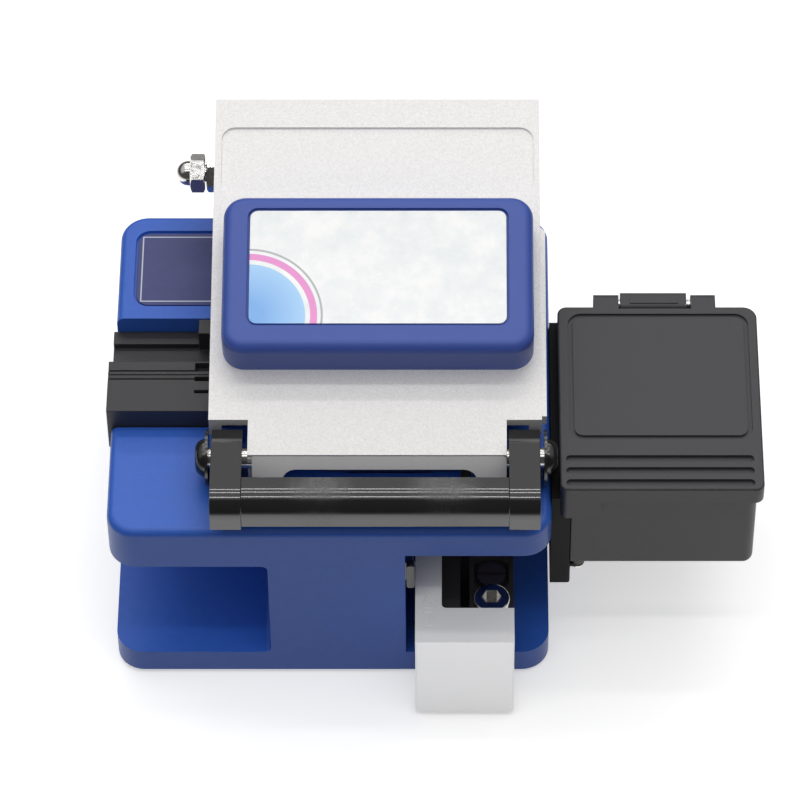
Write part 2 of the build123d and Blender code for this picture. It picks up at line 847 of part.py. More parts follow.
def carriage_block():
    """Machined carrier of the blade: plate, web, hub boss and the low block beside the lever."""
    block = upright(lever_x0, lever_x1, foot_y1, shoe_y1, plate_z0, plate_z1)
    shoe_half = rail_height / 2 + slide_gap + shoe_wall
    web_top = rail_z + shoe_half
    slope_y = shoe_y0 - (web_top - block_top) / 4
    web = Polygon(
        (foot_y1, plate_z1),
        (shoe_y1, plate_z1),
        (shoe_y1, web_top),
        (shoe_y0, web_top),
        (slope_y, block_top),
        (foot_y1, block_top),
    )
    web = across(web_x0, web_x1, web)
    corner = web.edges().filter_by(Axis.Z).sort_by_distance((web_x0, foot_y1, block_top))[0]
    block += chamfer(corner, lever_inner_round + seat_gap)
    block += upright(block_x0, lever_x1, foot_y1, foot_y1 + block_back, plate_z1, block_top)
    block += rod_x(web_x0, blade_left - blade_side_gap, blade_y, blade_z, hub_shoulder)
    block += rod_x(web_x1, blade_right + blade_side_gap, blade_y, blade_z, blade_bore - turn_gap)
    block -= rod_x(web_x0 + pull, blade_right + pull, blade_y, blade_z, m25 + screw_gap)
    dial_x, dial_y = dial_place()
    half = dial_width / 2
    sink = block_top - dial_sink
    block -= upright(dial_x - half, dial_x + half, dial_y - half, dial_y + half, sink, block_top + pull, dial_corner)
    block -= rod_z(plate_z1, sink + pull, dial_x, dial_y, dial_shaft + turn_gap)
    screw_x, screw_y = clamp_screw_place()
    block -= rod_z(plate_z0 + pull, block_top + pull, screw_x, screw_y, m3 + screw_gap)
    for place in lever_screw_places():
        block -= lever_screw_shape(place, screw_gap)
    for y in shoe_screw_places():
        block -= shoe_screw_shape(y, screw_gap)
    return block


def dial_place():
    return ((block_x0 + lever_x1) / 2, foot_y1 + dial_from_front)


def clamp_screw_place():
    return ((block_x0 + lever_x1) / 2, foot_y1 + clamp_screw_from_foot)


def height_dial():
    """Round adjuster in its square pocket, with a screwdriver slot."""
    x, y = dial_place()
    sink = block_top - dial_sink
    top = block_top - dial_below_block
    dial = rod_z(sink + turn_gap, top, x, y, dial_radius)
    dial += rod_z(plate_z1 + turn_gap, sink + turn_gap, x, y, dial_shaft)
    half = dial_slot / 2
    return dial - upright(x - dial_radius, x + dial_radius, y - half, y + half, top - dial_slot_depth, top + pull)


def dial_clamp_screw():
    x, y = clamp_screw_place()
    head_top = block_top + clamp_head_height
    head = rod_z(block_top, head_top, x, y, clamp_head_radius)
    head = fillet(head.edges().group_by(Axis.Z)[-1], clamp_head_round)
    screw = head + rod_z(plate_z0 + 2 * pull, block_top, x, y, m3)
    return screw - hex_socket(Plane(origin=(x, y, head_top)), m3, m3)


def blade_wheel():
    """Round blade with its rim ground to an edge."""
    half = blade_thickness / 2
    outline = Polygon(
        (-half, blade_bore),
        (-half, blade_radius - blade_edge * 2),
        (0, blade_radius),
        (half, blade_radius - blade_edge * 2),
        (half, blade_bore),
    )
    return Pos(blade_x, blade_y, blade_z) * revolve(Plane.XY * outline, Axis.X)


def blade_washer():
    x0 = blade_right + blade_side_gap
    washer = rod_x(x0, x0 + washer_thickness, blade_y, blade_z, washer_radius)
    return washer - rod_x(x0 - pull, x0 + washer_thickness + pull, blade_y, blade_z, m25 + screw_gap)


def blade_screw():
    x0 = blade_right + blade_side_gap + washer_thickness
    x1 = x0 + button_height
    screw = rod_x(x0, x1, blade_y, blade_z, m25 * flat_head)
    screw += rod_x(web_x0 + 1.5 * pull, x0, blade_y, blade_z, m25)
    face = Plane(origin=(x1, blade_y, blade_z), x_dir=(0, 1, 0), z_dir=(1, 0, 0))
    return screw - hex_socket(face, blade_screw_socket, button_height / 2)


def lid_side(x0, x1):
    """Side wall: a wedge under the sloping plate, rounded about the hinge."""
    bottom = deck_z + lid_side_above_deck
    front = lid_point(tongue_length, 0)[0] + lid_side_front_step
    reach = hinge_z - bottom
    wall_w = hinge_below_lid - lid_back_wall
    end_u = hinge_u + sqrt(reach**2 - wall_w**2)
    start = (hinge_y, bottom)
    end = lid_point(end_u, -lid_back_wall)
    heel = radians(lid_heel_angle)
    middle = (hinge_y + reach * sin(heel), hinge_z - reach * cos(heel))
    edges = Polyline(
        end,
        lid_point(lid_length, -lid_back_wall),
        lid_point(lid_length, -lid_wall / 2),
        (front, lid_height(front, lid_wall / 2)),
        (front, bottom),
        start,
    )
    outline = make_face(edges + ThreePointArc(start, middle, end))
    wall = across(x0, x1, outline)
    return wall - rod_x(x0 - pull, x1 + pull, hinge_y, hinge_z, hinge_pin + screw_gap)


def lid_casting():
    outline = Polygon(
        (tongue_x0, 0),
        (tongue_x1, 0),
        (tongue_x1, tongue_length),
        (lid_x1, tongue_length),
        (lid_x1, lid_length),
        (lid_x0, lid_length),
        (lid_x0, tongue_length),
        (tongue_x0, tongue_length),
    )
    lid = lid_plane * extrude(Pos(0, 0, -lid_wall) * outline, lid_wall)
    lid += lid_side(lid_x0, lid_x0 + lid_wall)
    lid += lid_side(lid_x1 - lid_wall, lid_x1)
    lid += on_lid(lid_x0, lid_x1, lid_length - lid_wall, lid_length, -lid_back_wall, -lid_wall / 2)
    lid += side_rib()
    lid += front_flange()
    lid += pivot_boss_block(tongue_x0, tongue_x0 + pivot_boss)
    lid += pivot_boss_block(tongue_x1 - pivot_boss, tongue_x1)
    panel_u1 = lid_length - panel_back
    panel_u0 = panel_u1 - panel_length
    panel_x0 = lid_x0 + panel_left
    panel_x1 = lid_x1 - panel_right
    lid -= on_lid(panel_x0, panel_x1, panel_u0, panel_u1, -panel_depth, pull, panel_corner)
    for x0, x1 in ((tongue_x0, tongue_x0 + pivot_boss), (tongue_x1 - pivot_boss, tongue_x1)):
        lid -= rod_x(x0 - pull, x1 + pull, pivot_y, pivot_z, m3 + screw_gap)
    lid -= rod_z(deck_z, lid_height(fibre_y) + 2 * pull, blade_x, fibre_y, bush_radius + screw_gap)
    for x, u in cap_screw_places():
        lid -= rod_lid(-lid_wall - pull, pull, x, u, m2 + screw_gap)
    for x, y in clamp_screw_places():
        lid -= rod_z(deck_z, lid_height(y) + 2 * pull, x, y, m25 + screw_gap)
    return lid


def side_rib():
    """Low rib along the outside of the right wall, with a slanted back end."""
    x0 = lid_x1 - lid_wall / 2
    x1 = lid_x1 + lid_rib
    plan = Polygon(
        (x0, lid_rib_front),
        (x1, lid_rib_front),
        (x1, lid_rib_back - lid_rib),
        (lid_x1, lid_rib_back),
        (x0, lid_rib_back),
    )
    top = -lid_rib_drop
    return lid_plane * extrude(Pos(0, 0, top - lid_rib_height) * plan, lid_rib_height)


def front_flange():
    """Vertical front wall of the lid, with a wide arched notch in its lower edge."""
    bottom = deck_z + lid_flange_above_deck
    top = lid_z - lid_wall / 2
    width = tongue_x1 - tongue_x0
    plate = Pos((tongue_x0 + tongue_x1) / 2, (bottom + top) / 2) * Rectangle(width, top - bottom)
    x0 = tongue_x0 + notch_left
    x1 = tongue_x1 - notch_right
    notch = Pos((x0 + x1) / 2, bottom) * RectangleRounded(x1 - x0, 2 * notch_height, notch_round)
    return along(lid_y, lid_y + lid_wall, plate - notch)


def pivot_boss_block(x0, x1):
    """Boss behind the front wall that takes a pivot screw of the release bar."""
    y1 = pivot_y + pivot_boss_back / 2
    low = pivot_z - pivot_boss_back / 2
    outline = Polygon(
        (lid_y, low),
        (y1, low),
        (y1, lid_height(y1, lid_wall / 2)),
        (lid_y, lid_height(lid_y, lid_wall / 2)),
    )
    return across(x0, x1, outline)


def keeper_plate():
    """Steel block behind the notch that the deck magnet holds."""
    y0 = keeper_y
    y1 = y0 + keeper_depth
    low = deck_z + seat_gap
    outline = Polygon((y0, low), (y1, low), (y1, lid_height(y1, lid_wall)), (y0, lid_height(y0, lid_wall)))
    return across(keeper_x0, keeper_x1, outline)


def cap_screw_places():
    u0 = cap_start + cap_screw_inset
    u1 = cap_start + cap_length - cap_screw_inset
    x0 = cap_x0 + cap_screw_inset
    x1 = cap_x1 - cap_screw_inset
    return [(x0, u0), (x0, u1), (x1, u1)]


def clamp_screw_places():
    y = fibre_y + clamp_screw_back
    return [(blade_x - clamp_pad_width, y), (blade_x + clamp_pad_width, y)]


def lid_cap():
    """Moulded cover of the anvil, solid but for the anvil's pocket."""
    u1 = cap_start + cap_length
    cap = upright(cap_x0, cap_x1, cap_start, u1, 0, cap_height, cap_corner)
    cap = fillet(cap.edges().group_by(Axis.Z)[-1], cap_round)
    x0 = cap_x0 + cap_label_side
    x1 = cap_x1 - cap_label_side
    label_u0 = cap_start + cap_label_front
    label_u1 = u1 - cap_label_back
    floor = cap_height - cap_label_depth
    cap -= upright(x0, x1, label_u0, label_u1, floor, cap_height + pull, cap_label_corner)
    pocket_u0 = cap_start + cap_pocket_wall
    pocket_x0 = blade_x - cap_pocket_half
    pocket_x1 = blade_x + cap_pocket_half
    roof = cap_height - cap_pocket_roof
    cap -= upright(pocket_x0, pocket_x1, pocket_u0, pocket_u0 + cap_pocket_length, -pull, roof)
    for x, u in cap_screw_places():
        cap -= rod_z(-pull, cap_screw_reach, x, u, m2 + screw_gap)
    cap = lid_plane * cap
    cap += spring_seat_boss()
    for x, y in clamp_screw_places():
        cap -= rod_z(lid_height(y) - pull, lid_height(y) + cap_screw_reach, x, y, m25 + screw_gap)
    return cap


def spring_seat_boss():
    """Level seat for the anvil spring under the sloping roof of the pocket."""
    roof = cap_height - cap_pocket_roof
    return rod_z(spring_z1(), lid_height(fibre_y, -roof - spring_seat / 3), blade_x, fibre_y, spring_seat)


def cap_label_plate():
    x0 = cap_x0 + cap_label_side + label_gap
    x1 = cap_x1 - cap_label_side - label_gap
    u0 = cap_start + cap_label_front + label_gap
    u1 = cap_start + cap_length - cap_label_back - label_gap
    w0 = cap_height - cap_label_depth
    return on_lid(x0, x1, u0, u1, w0, w0 + cap_label_thickness, cap_label_corner - label_gap)


def cap_screws():
    """Pan-head screws from under the lid's plate into the cap."""
    group = []
    for x, u in cap_screw_places():
        screw = rod_lid(-lid_wall - pan_head_height, -lid_wall, x, u, pan_head * m2)
        screw += rod_lid(-lid_wall, cap_screw_reach - screw_gap * 5, x, u, m2)
        group.append(screw)
    return Compound(children=group)


def upper_block_bottom():
    return fibre_z + clamp_closed_gap + pad_rubber


def upper_clamp_block():
    """Carrier of the upper pads and the anvil, level with the deck when the lid is shut."""
    low = upper_block_bottom()
    y0 = fibre_y - upper_block_front
    y1 = fibre_y + upper_block_back
    outline = Polygon((y0, low), (y1, low), (y1, lid_height(y1, lid_wall)), (y0, lid_height(y0, lid_wall)))
    x0 = clamp_x0 - upper_block_margin
    x1 = clamp_x1 + clamp_pad_width + upper_block_margin
    block = across(x0, x1, outline)
    half = anvil_width / 2 + slide_gap
    foot_room = anvil_depth / 2 + slide_gap
    foot_top = anvil_foot_top() + anvil_travel + slide_gap
    block -= upright(blade_x - half, blade_x + half, fibre_y - foot_room, fibre_y + foot_room, low - pull, foot_top)
    block -= rod_z(foot_top - pull, lid_height(y1), blade_x, fibre_y, bush_radius + screw_gap)
    for x, y in clamp_screw_places():
        block -= rod_z(low - pull, lid_height(y1), x, y, m25 + screw_gap)
        block -= rod_z(low - pull, low + m25, x, y, pan_head * m25)
    return block


def clamp_screws():
    """Screws through the upper block and the lid's plate into the cap."""
    low = upper_block_bottom()
    group = []
    for x, y in clamp_screw_places():
        top = lid_height(y) + cap_screw_reach - screw_gap * 5
        screw = rod_z(low + m25, top, x, y, m25)
        screw += rod_z(low + head_gap, low + m25, x, y, flat_head * m25)
        group.append(screw)
    return Compound(children=group)


def anvil_foot_top():
    return fibre_z + anvil_above_fibre + anvil_foot


def bush_top():
    return lid_height(fibre_y) + bush_above_lid


def spring_z0():
    return bush_top() + turn_gap + collar_height


def spring_z1():
    return spring_z0() + spring_length


def anvil_bush():
    """Guide bush of the anvil's stem, pressed through the lid's plate."""
    low = anvil_foot_top() + anvil_travel + slide_gap
    bush = rod_z(low, bush_top(), blade_x, fibre_y, bush_radius)
    return bush - rod_z(low - pull, bush_top() + pull, blade_x, fibre_y, anvil_stem + turn_gap)


def anvil_plunger():
    """Anvil: a narrow foot over the fibre, a stem, and a collar that rests on the bush."""
    z0 = fibre_z + anvil_above_fibre
    half_x = anvil_width / 2
    half_y = anvil_depth / 2
    foot = upright(blade_x - half_x, blade_x + half_x, fibre_y - half_y, fibre_y + half_y, z0, anvil_foot_top())
    foot = fillet(foot.edges().filter_by(Axis.X).group_by(Axis.Z)[0], anvil_foot_round)
    collar_z = bush_top() + turn_gap
    plunger = foot + rod_z(anvil_foot_top(), collar_z, blade_x, fibre_y, anvil_stem)
    plunger += rod_z(collar_z, spring_z0(), blade_x, fibre_y, collar_radius)
    plunger += rod_z(spring_z0(), spring_z0() + collar_height, blade_x, fibre_y, spring_guide)
    return plunger


def anvil_spring():
    radius = spring_radius
    wire = spring_wire / 2
    low = spring_z0() + wire + spring_end_gap
    high = spring_z1() - wire - spring_end_gap
    height = high - low
    path = Helix(height / spring_turns, height, radius)
    start = Plane(origin=path @ 0, z_dir=path % 0)
    coil = sweep(start * RegularPolygon(wire, spring_facets), path)
    return Pos(blade_x, fibre_y, low) * coil


def release_bar():
    """U-shaped bar: a round-topped cross bar between two arms that pivot on the lid."""
    under = pivot_z - bar_under
    front = bar_y0
    back = front + bar_depth
    cross = bar_outline(front + bar_arm_extra, back, under, pivot_z + bar_rise - bar_arm_extra)
    bar = across(left_arm_x1 - pull, right_arm_x0 + pull, cross)
    for x0, x1 in ((left_arm_x0, left_arm_x1), (right_arm_x0, right_arm_x1)):
        bar += across(x0, x1, arm_outline(front, under))
        bar -= rod_x(x0 - pull, x1 + pull, pivot_y, pivot_z, m3 + turn_gap)
    return bar


def bar_outline(front, back, under, top):
    outline = Pos((front + back) / 2, (under + top) / 2) * Rectangle(back - front, top - under)
    corner = outline.vertices().sort_by_distance((front, top, 0))[0]
    return fillet(corner, bar_round)


def arm_outline(front, under):
    top = pivot_z + bar_rise
    tail = pivot_y + bar_tail
    outline = Polygon(
        (front, under),
        (pivot_y + bar_heel, under),
        (tail, pivot_z - bar_tail_drop),
        (tail, pivot_z + bar_tail_rise),
        (pivot_y, top),
        (front, top),
    )
    corner = outline.vertices().sort_by_distance((front, top, 0))[0]
    return fillet(corner, bar_round)


def bar_washer_at(x0):
    washer = rod_x(x0, x0 + bar_washer_thickness, pivot_y, pivot_z, bar_washer)
    return washer - rod_x(x0 - pull, x0 + bar_washer_thickness + pull, pivot_y, pivot_z, m3 + screw_gap)


def bar_washers():
    left = bar_washer_at(left_arm_x0 - seat_gap - bar_washer_thickness)
    right = bar_washer_at(right_arm_x1 + right_shank)
    return Compound(children=[left, right])


def button_screw(face_x, tip_x):
    """Button-head screw along X; the head lies beyond face_x, away from the tip."""
    corner = (button_rim, button_radius)
    edge = (button_height, m3)
    straight = Polyline(edge, (button_height, 0), (0, 0), (0, button_radius), corner)
    outline = make_face(straight + RadiusArc(corner, edge, button_height))
    head = revolve(Plane.XY * outline, Axis.X)
    face = Plane(origin=(button_height, 0, 0), x_dir=(0, 1, 0), z_dir=(1, 0, 0))
    head -= hex_socket(face, button_socket, button_height / 2)
    if face_x < tip_x:
        head = Rot(0, 0, 180) * head
    head = Pos(face_x, pivot_y, pivot_z) * head
    return head + rod_x(min(face_x, tip_x), max(face_x, tip_x), pivot_y, pivot_z, m3)


def bar_pivot_screws():
    left_face = left_arm_x0 - seat_gap - bar_washer_thickness
    right_face = right_arm_x1 + right_shank + bar_washer_thickness
    left = button_screw(left_face, tongue_x0 + pivot_boss - pivot_screw_short)
    right = button_screw(right_face, tongue_x1 - pivot_boss + pivot_screw_short)
    return Compound(children=[left, right])


def bin_bracket_screw_places():
    return [bin_y0 + bin_bracket_screw_inset, bin_wall_y1 - bin_bracket_screw_inset]


def bin_bracket_screw_z():
    return deck_z - right_slab / 2


def bin_foot_places():
    x = bin_x0 + bin_boss
    return [(x, bin_wall_y0 + bin_boss), (x, bin_wall_y1 - bin_boss)]


def bin_bracket_screw_shape(y, grown=0.0):
    """Countersunk screw, flush with the bracket's outer face."""
    head = m25 * flat_head + grown
    shank = m25 + grown
    tip = body_right - screw_reach + pull
    outline = Polygon((tip, 0), (tip, shank), (bin_x0 - m25, shank), (bin_x0, head), (bin_x0, 0))
    return Pos(0, y, bin_bracket_screw_z()) * revolve(Plane.XY * outline, Axis.X)


def bin_bracket():
    """Wall bolted to the body's side, with two tabs under the box."""
    low = bin_z0 - bin_bracket_foot
    high = bin_lip_bottom - slide_gap
    bracket = upright(body_right, bin_x0, bin_wall_y0, bin_wall_y1 + bin_bracket_back, low, high)
    corners = bracket.edges().filter_by(Axis.Z).group_by(Axis.X)[-1]
    bracket = fillet(corners, bin_bracket_corner)
    tab_z = bin_z0 - bin_tab_thickness
    for x, y in bin_foot_places():
        bracket += upright(bin_x0 - pull, x, y - bin_tab_half, y + bin_tab_half, tab_z, bin_z0)
        bracket += rod_z(tab_z, bin_z0, x, y, bin_tab_half)
    for x, y in bin_foot_places():
        bracket -= rod_z(tab_z - pull, bin_z0 + pull, x, y, bin_foot_screw + screw_gap)
    for y in bin_bracket_screw_places():
        bracket -= bin_bracket_screw_shape(y, screw_gap)
    return bracket


def bin_bracket_screws():
    return Compound(children=[bin_bracket_screw_shape(y) for y in bin_bracket_screw_places()])


def bin_box():
    """Moulded box with a hinge knuckle at its back and screw bosses in its near corners."""
    box = upright(bin_x0, bin_x1, bin_wall_y0, bin_wall_y1, bin_z0, bin_rim)
    box = fillet(box.edges().filter_by(Axis.Z).group_by(Axis.X)[-1], bin_corner)
    bottom = box.edges().group_by(Axis.Z)[0]
    outer = bottom - bottom.group_by(Axis.X)[0]
    box = fillet(outer, bin_floor_round)
    x0, x1 = bin_x0 + bin_wall, bin_x1 - bin_wall
    y0, y1 = bin_wall_y0 + bin_wall, bin_wall_y1 - bin_wall
    box -= upright(x0, x1, y0, y1, bin_z0 + bin_floor, bin_rim + pull, bin_corner - bin_wall)
    for x, y in bin_foot_places():
        box += rod_z(bin_z0, bin_z0 + bin_boss_height, x, y, bin_boss)
    for x, y in bin_foot_places():
        top = bin_z0 + bin_foot_screw_reach + screw_gap
        box -= rod_z(bin_z0 - pull, top, x, y, bin_foot_screw + screw_gap)
    box += across(knuckle_x0, knuckle_x1, knuckle_outline())
    rib_x0 = knuckle_x0 + bin_rib_inset
    rib_y0 = bin_hinge_y - bin_rib_front
    rib_y1 = bin_hinge_y + bin_rib_back
    rib_z0 = bin_hinge_z + bin_hinge_pin
    rib_z1 = bin_hinge_z + bin_knuckle_top + bin_rib_rise
    box += upright(rib_x0, rib_x0 + bin_rib_width, rib_y0, rib_y1, rib_z0, rib_z1)
    return box - rod_x(knuckle_x0 - pull, knuckle_x1 + pull, bin_hinge_y, bin_hinge_z, pin_hole)


def knuckle_outline():
    """Side outline of the box's knuckle, which stays inside the sweep of the lid's slot."""
    low = bin_hinge_z - bin_hinge_eye
    high = bin_hinge_z + bin_knuckle_top
    back = bin_hinge_y + bin_knuckle_reach
    front = bin_hinge_y - bin_knuckle_front
    outline = Polygon(
        (bin_wall_y1 - bin_wall / 2, low - bin_hinge_eye),
        (back, low),
        (back, high),
        (front, high),
        (front, bin_rim),
        (bin_wall_y1 - bin_wall / 2, bin_rim),
    )
    corners = outline.vertices().sort_by(Axis.Y)[-2:]
    return fillet(corners, bin_knuckle_round)


def bin_hinge_rod():
    x0 = bin_x0 + bin_tab_left + bin_knuckle_gap
    x1 = knuckle_x1 + bin_knuckle_right_gap + bin_tab_two - bin_knuckle_gap
    return rod_x(x0, x1, bin_hinge_y, bin_hinge_z, bin_hinge_pin)


def bin_lid():
    """Lid with a lip on three sides, two hinge tabs, a latch tab, a framed panel and three grip grooves."""
    x0, x1 = bin_lid_x0, bin_lid_x1
    lid = upright(x0, x1, bin_y0, bin_lid_y1, bin_lip_bottom, bin_lid_top)
    lid = fillet(lid.edges().filter_by(Axis.Z).group_by(Axis.Y)[0], bin_lid_front_corner)
    back_edges = lid.edges().filter_by(Axis.Z).group_by(Axis.Y)[-1].sort_by(Axis.X)
    lid = fillet(back_edges[0], bin_lid_left_corner)
    lid = fillet(lid.edges().filter_by(Axis.Z).group_by(Axis.Y)[-1].sort_by(Axis.X)[-1], bin_lid_right_corner)
    lid = fillet(lid.edges().group_by(Axis.Z)[-1], bin_lid_round)
    inner_z = bin_lid_top - bin_lid_wall
    lip = bin_lip_wall
    lid -= upright(x0 + lip, x1 - lip, bin_y0 + lip, bin_lid_y1 + pull, bin_lip_bottom - pull, inner_z)
    back_trim = upright(x0 - pull, x1 + pull, bin_wall_y1, bin_lid_y1 + pull, bin_lip_bottom - pull, inner_z)
    lid -= back_trim
    lid += hinge_tab(bin_x0 + bin_tab_left, bin_tab_one)
    lid += hinge_tab(knuckle_x1 + bin_knuckle_right_gap, bin_tab_two)
    gap_x0 = knuckle_x0 - bin_knuckle_gap
    gap_x1 = knuckle_x1 + bin_knuckle_right_gap
    gap_y = bin_hinge_y - bin_knuckle_clear
    lid -= upright(gap_x0, gap_x1, gap_y, bin_lid_y1 + pull, inner_z - pull, bin_lid_top + pull)
    lid += bin_latch()
    lid -= lid_grooves()
    return lid


def bin_latch():
    """Thumb tab below the lip, which follows the lid's rounded corner."""
    x1 = bin_lid_x0 + bin_latch_width
    y1 = bin_y0 + bin_lip_wall - bin_running_gap
    z0 = bin_lip_bottom - bin_latch_drop
    z1 = bin_lip_bottom + bin_running_gap
    tab = upright(bin_lid_x0, bin_lid_x1, bin_y0, bin_lid_y1, z0, z1, bin_lid_front_corner)
    tab &= upright(bin_lid_x0 - pull, x1, bin_y0 - pull, y1, z0, z1)
    low = tab.edges().filter_by(Axis.Y).group_by(Axis.Z)[0].sort_by(Axis.X)[-1]
    return fillet(low, bin_latch_round)


def hinge_tab(x0, width):
    """Lid tab that ends in an eye round the hinge pin."""
    eye = Pos(bin_hinge_y, bin_hinge_z) * Circle(bin_hinge_eye)
    arm_y0 = bin_lid_y1 - pull
    arm_y1 = bin_hinge_y
    arm_z = bin_lid_top - bin_lid_wall / 2
    arm = Pos((arm_y0 + arm_y1) / 2, arm_z) * Rectangle(arm_y1 - arm_y0, bin_lid_wall)
    tab = across(x0, x0 + width, eye + arm)
    return tab - rod_x(x0 - pull, x0 + width + pull, bin_hinge_y, bin_hinge_z, pin_hole)


def lid_grooves():
    """Rounded frame line and the three finger grooves in front of it."""
    x0 = bin_lid_x0 + bin_frame_left
    x1 = bin_lid_x1 - bin_frame_right
    y1 = bin_lid_y1 - bin_frame_back
    y0 = bin_y0 + bin_frame_front
    z0 = bin_lid_top - bin_frame_depth
    z1 = bin_lid_top + pull
    w = bin_frame_width
    cuts = upright(x0, x1, y0, y1, z0, z1, bin_frame_corner)
    cuts -= upright(x0 + w, x1 - w, y0 + w, y1 - w, z0 - pull, z1 + pull, bin_frame_corner - w)
    slot_x0 = bin_lid_x0 + bin_groove_left
    slot_x1 = bin_lid_x1 - bin_groove_right
    slot = SlotOverall(slot_x1 - slot_x0, bin_groove_width)
    for step in range(bin_groove_count):
        y = bin_y0 + bin_groove_back - step * bin_groove_pitch
        cuts += extrude(Pos((slot_x0 + slot_x1) / 2, y, bin_lid_top - bin_groove_depth) * slot, bin_groove_depth + pull)
    return cuts


def bin_foot_screws():
    group = []
    for x, y in bin_foot_places():
        low = bin_z0 - bin_tab_thickness
        screw = rod_z(low - bin_foot_head_height, low, x, y, bin_foot_head)
        screw += rod_z(low, bin_z0 + bin_foot_screw_reach, x, y, bin_foot_screw)
        group.append(screw)
    return Compound(children=group)


def lower_pads():
    return clamp_pads(fibre_z - pad_rubber, fibre_z)


def upper_pads():
    low = fibre_z + clamp_closed_gap
    return clamp_pads(low, low + pad_rubber)


sub_parts = {
    "body_frame": body_frame,
    "base_pad": base_pad,
    "deck_label_plate": deck_label_plate,
    "deck_magnet": magnet_block,
    "hinge_bracket": hinge_bracket,
    "hinge_bracket_screws": hinge_bracket_screws,
    "lower_clamp_blocks": lower_clamp_blocks,
    "lower_clamp_pads": lower_pads,
    "slide_rail": slide_rail,
    "rail_screws": rail_screws,
    "rail_stops": rail_stops,
    "fibre_adapter": fibre_adapter,
    "slide_shoe": slide_shoe,
    "shoe_screws": shoe_screws,
    "carriage_block": carriage_block,
    "push_lever": push_lever,
    "lever_screws": lever_screws,
    "height_dial": height_dial,
    "dial_clamp_screw": dial_clamp_screw,
    "blade_wheel": blade_wheel,
    "blade_washer": blade_washer,
    "blade_screw": blade_screw,
    "lid_casting": lid_casting,
    "hinge_shaft": hinge_shaft,
    "hinge_jam_nut": hinge_jam_nut,
    "hinge_cap_nut": hinge_cap_nut,
    "keeper_plate": keeper_plate,
    "lid_cap": lid_cap,
    "cap_label_plate": cap_label_plate,
    "cap_screws": cap_screws,
    "upper_clamp_block": upper_clamp_block,
    "upper_clamp_pads": upper_pads,
    "clamp_screws": clamp_screws,
    "anvil_bush": anvil_bush,
    "anvil_plunger": anvil_plunger,
    "anvil_spring": anvil_spring,
    "release_bar": release_bar,
    "bar_washers": bar_washers,
    "bar_pivot_screws": bar_pivot_screws,
    "bin_bracket": bin_bracket,
    "bin_bracket_screws": bin_bracket_screws,
    "bin_box": bin_box,
    "bin_foot_screws": bin_foot_screws,
    "bin_lid": bin_lid,
    "bin_hinge_rod": bin_hinge_rod,
}

for name, make in sub_parts.items():
    export_step(make(), f"parts/{name}.step")
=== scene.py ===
import json
from math import atan2, cos, hypot, pi, radians, sin, tan

import bmesh
import bpy
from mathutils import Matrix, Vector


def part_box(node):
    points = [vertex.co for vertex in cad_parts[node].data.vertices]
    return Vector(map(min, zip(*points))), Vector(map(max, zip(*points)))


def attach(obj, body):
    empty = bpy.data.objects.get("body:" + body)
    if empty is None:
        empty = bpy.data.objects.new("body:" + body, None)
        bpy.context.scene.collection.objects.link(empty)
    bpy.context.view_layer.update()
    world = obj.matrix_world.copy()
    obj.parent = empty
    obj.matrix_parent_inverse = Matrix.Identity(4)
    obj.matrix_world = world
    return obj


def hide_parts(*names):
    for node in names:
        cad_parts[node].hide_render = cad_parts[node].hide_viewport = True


# Looks of the fibre cleaver: materials, edge rounding, engraved marks, label design, light and camera.
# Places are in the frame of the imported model, in metres, or in millimetres where a line multiplies by MM.

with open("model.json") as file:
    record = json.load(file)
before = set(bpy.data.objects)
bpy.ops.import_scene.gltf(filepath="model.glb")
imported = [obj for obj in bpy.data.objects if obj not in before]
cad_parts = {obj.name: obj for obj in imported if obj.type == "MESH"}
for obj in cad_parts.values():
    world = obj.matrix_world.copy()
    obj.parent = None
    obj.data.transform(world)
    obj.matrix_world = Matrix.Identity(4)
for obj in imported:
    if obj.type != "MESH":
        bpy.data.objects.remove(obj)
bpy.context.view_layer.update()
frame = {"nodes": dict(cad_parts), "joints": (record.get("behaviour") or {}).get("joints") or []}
nodes = frame["nodes"]
joints = {joint["name"]: joint for joint in frame["joints"]}
scene = bpy.context.scene

MM = 0.001

# Camera fitted to the photo, metres and millimetres of lens
CAMERA_PLACE = (0.01709, -0.43935, 0.58966)
CAMERA_TILT = radians(38)
CAMERA_LENS = 220.455
CAMERA_SENSOR = 36.0
CAMERA_SHIFT = -0.0625

# Floor and world. The camera and reflections get SEEN, GLOW, DARK and BRIGHT; LIT, LOW and HIGH light the object.
# The seen floor fades to its REST share between NEAR and FAR from the middle.
FLOOR_HALF = 2.0
FLOOR_SEEN = 0.95
FLOOR_LIT = 0.06
FLOOR_GLOW = 0.45
FLOOR_NEAR = 0.07
FLOOR_FAR = 0.32
FLOOR_REST = 0.1
WORLD_LOW = 0.04
WORLD_HIGH = 0.74
MIRROR_DARK = 0.06
MIRROR_BRIGHT = 0.55
MIRROR_BEHIND = (-0.5, -0.2)
MIRROR_ABOVE = (0.2, 0.6)

# Tube lamps, metres and watts, with their angles from the vertical towards the user
TUBE_LENGTH = 1.0
TUBE_WIDTH = 0.04
TUBE_DISTANCE = 0.9
TUBE_POWER = 0.9
BAR_PLACE = (-0.0285, 0.04)
TUBES = (("tube_far", -55), ("tube_back", -30), ("tube_middle", -13), ("tube_front", 12))

# Edge rounding and arcs
WELD_REACH = 1e-6
FLAT_ANGLE = radians(0.5)
ROUND_ANGLE = radians(32)
SPLIT_ANGLE = radians(50)
NORMAL_WEIGHT = 80
ARC_STEPS = 14

# Labels, millimetres, and the slope that the cap's label lies on
LID_TILT = radians(12)
DISC_CENTRE = (-11.6, -3.4)
DISC_RADIUS = 8.2
DISC_FADE = (2, 9)
PINK_RING = (8.9, 9.9)
GREY_RING = (10.4, 10.7)
DECK_LINE = (0.62, 0.8)
LINE_SOFT = 0.03

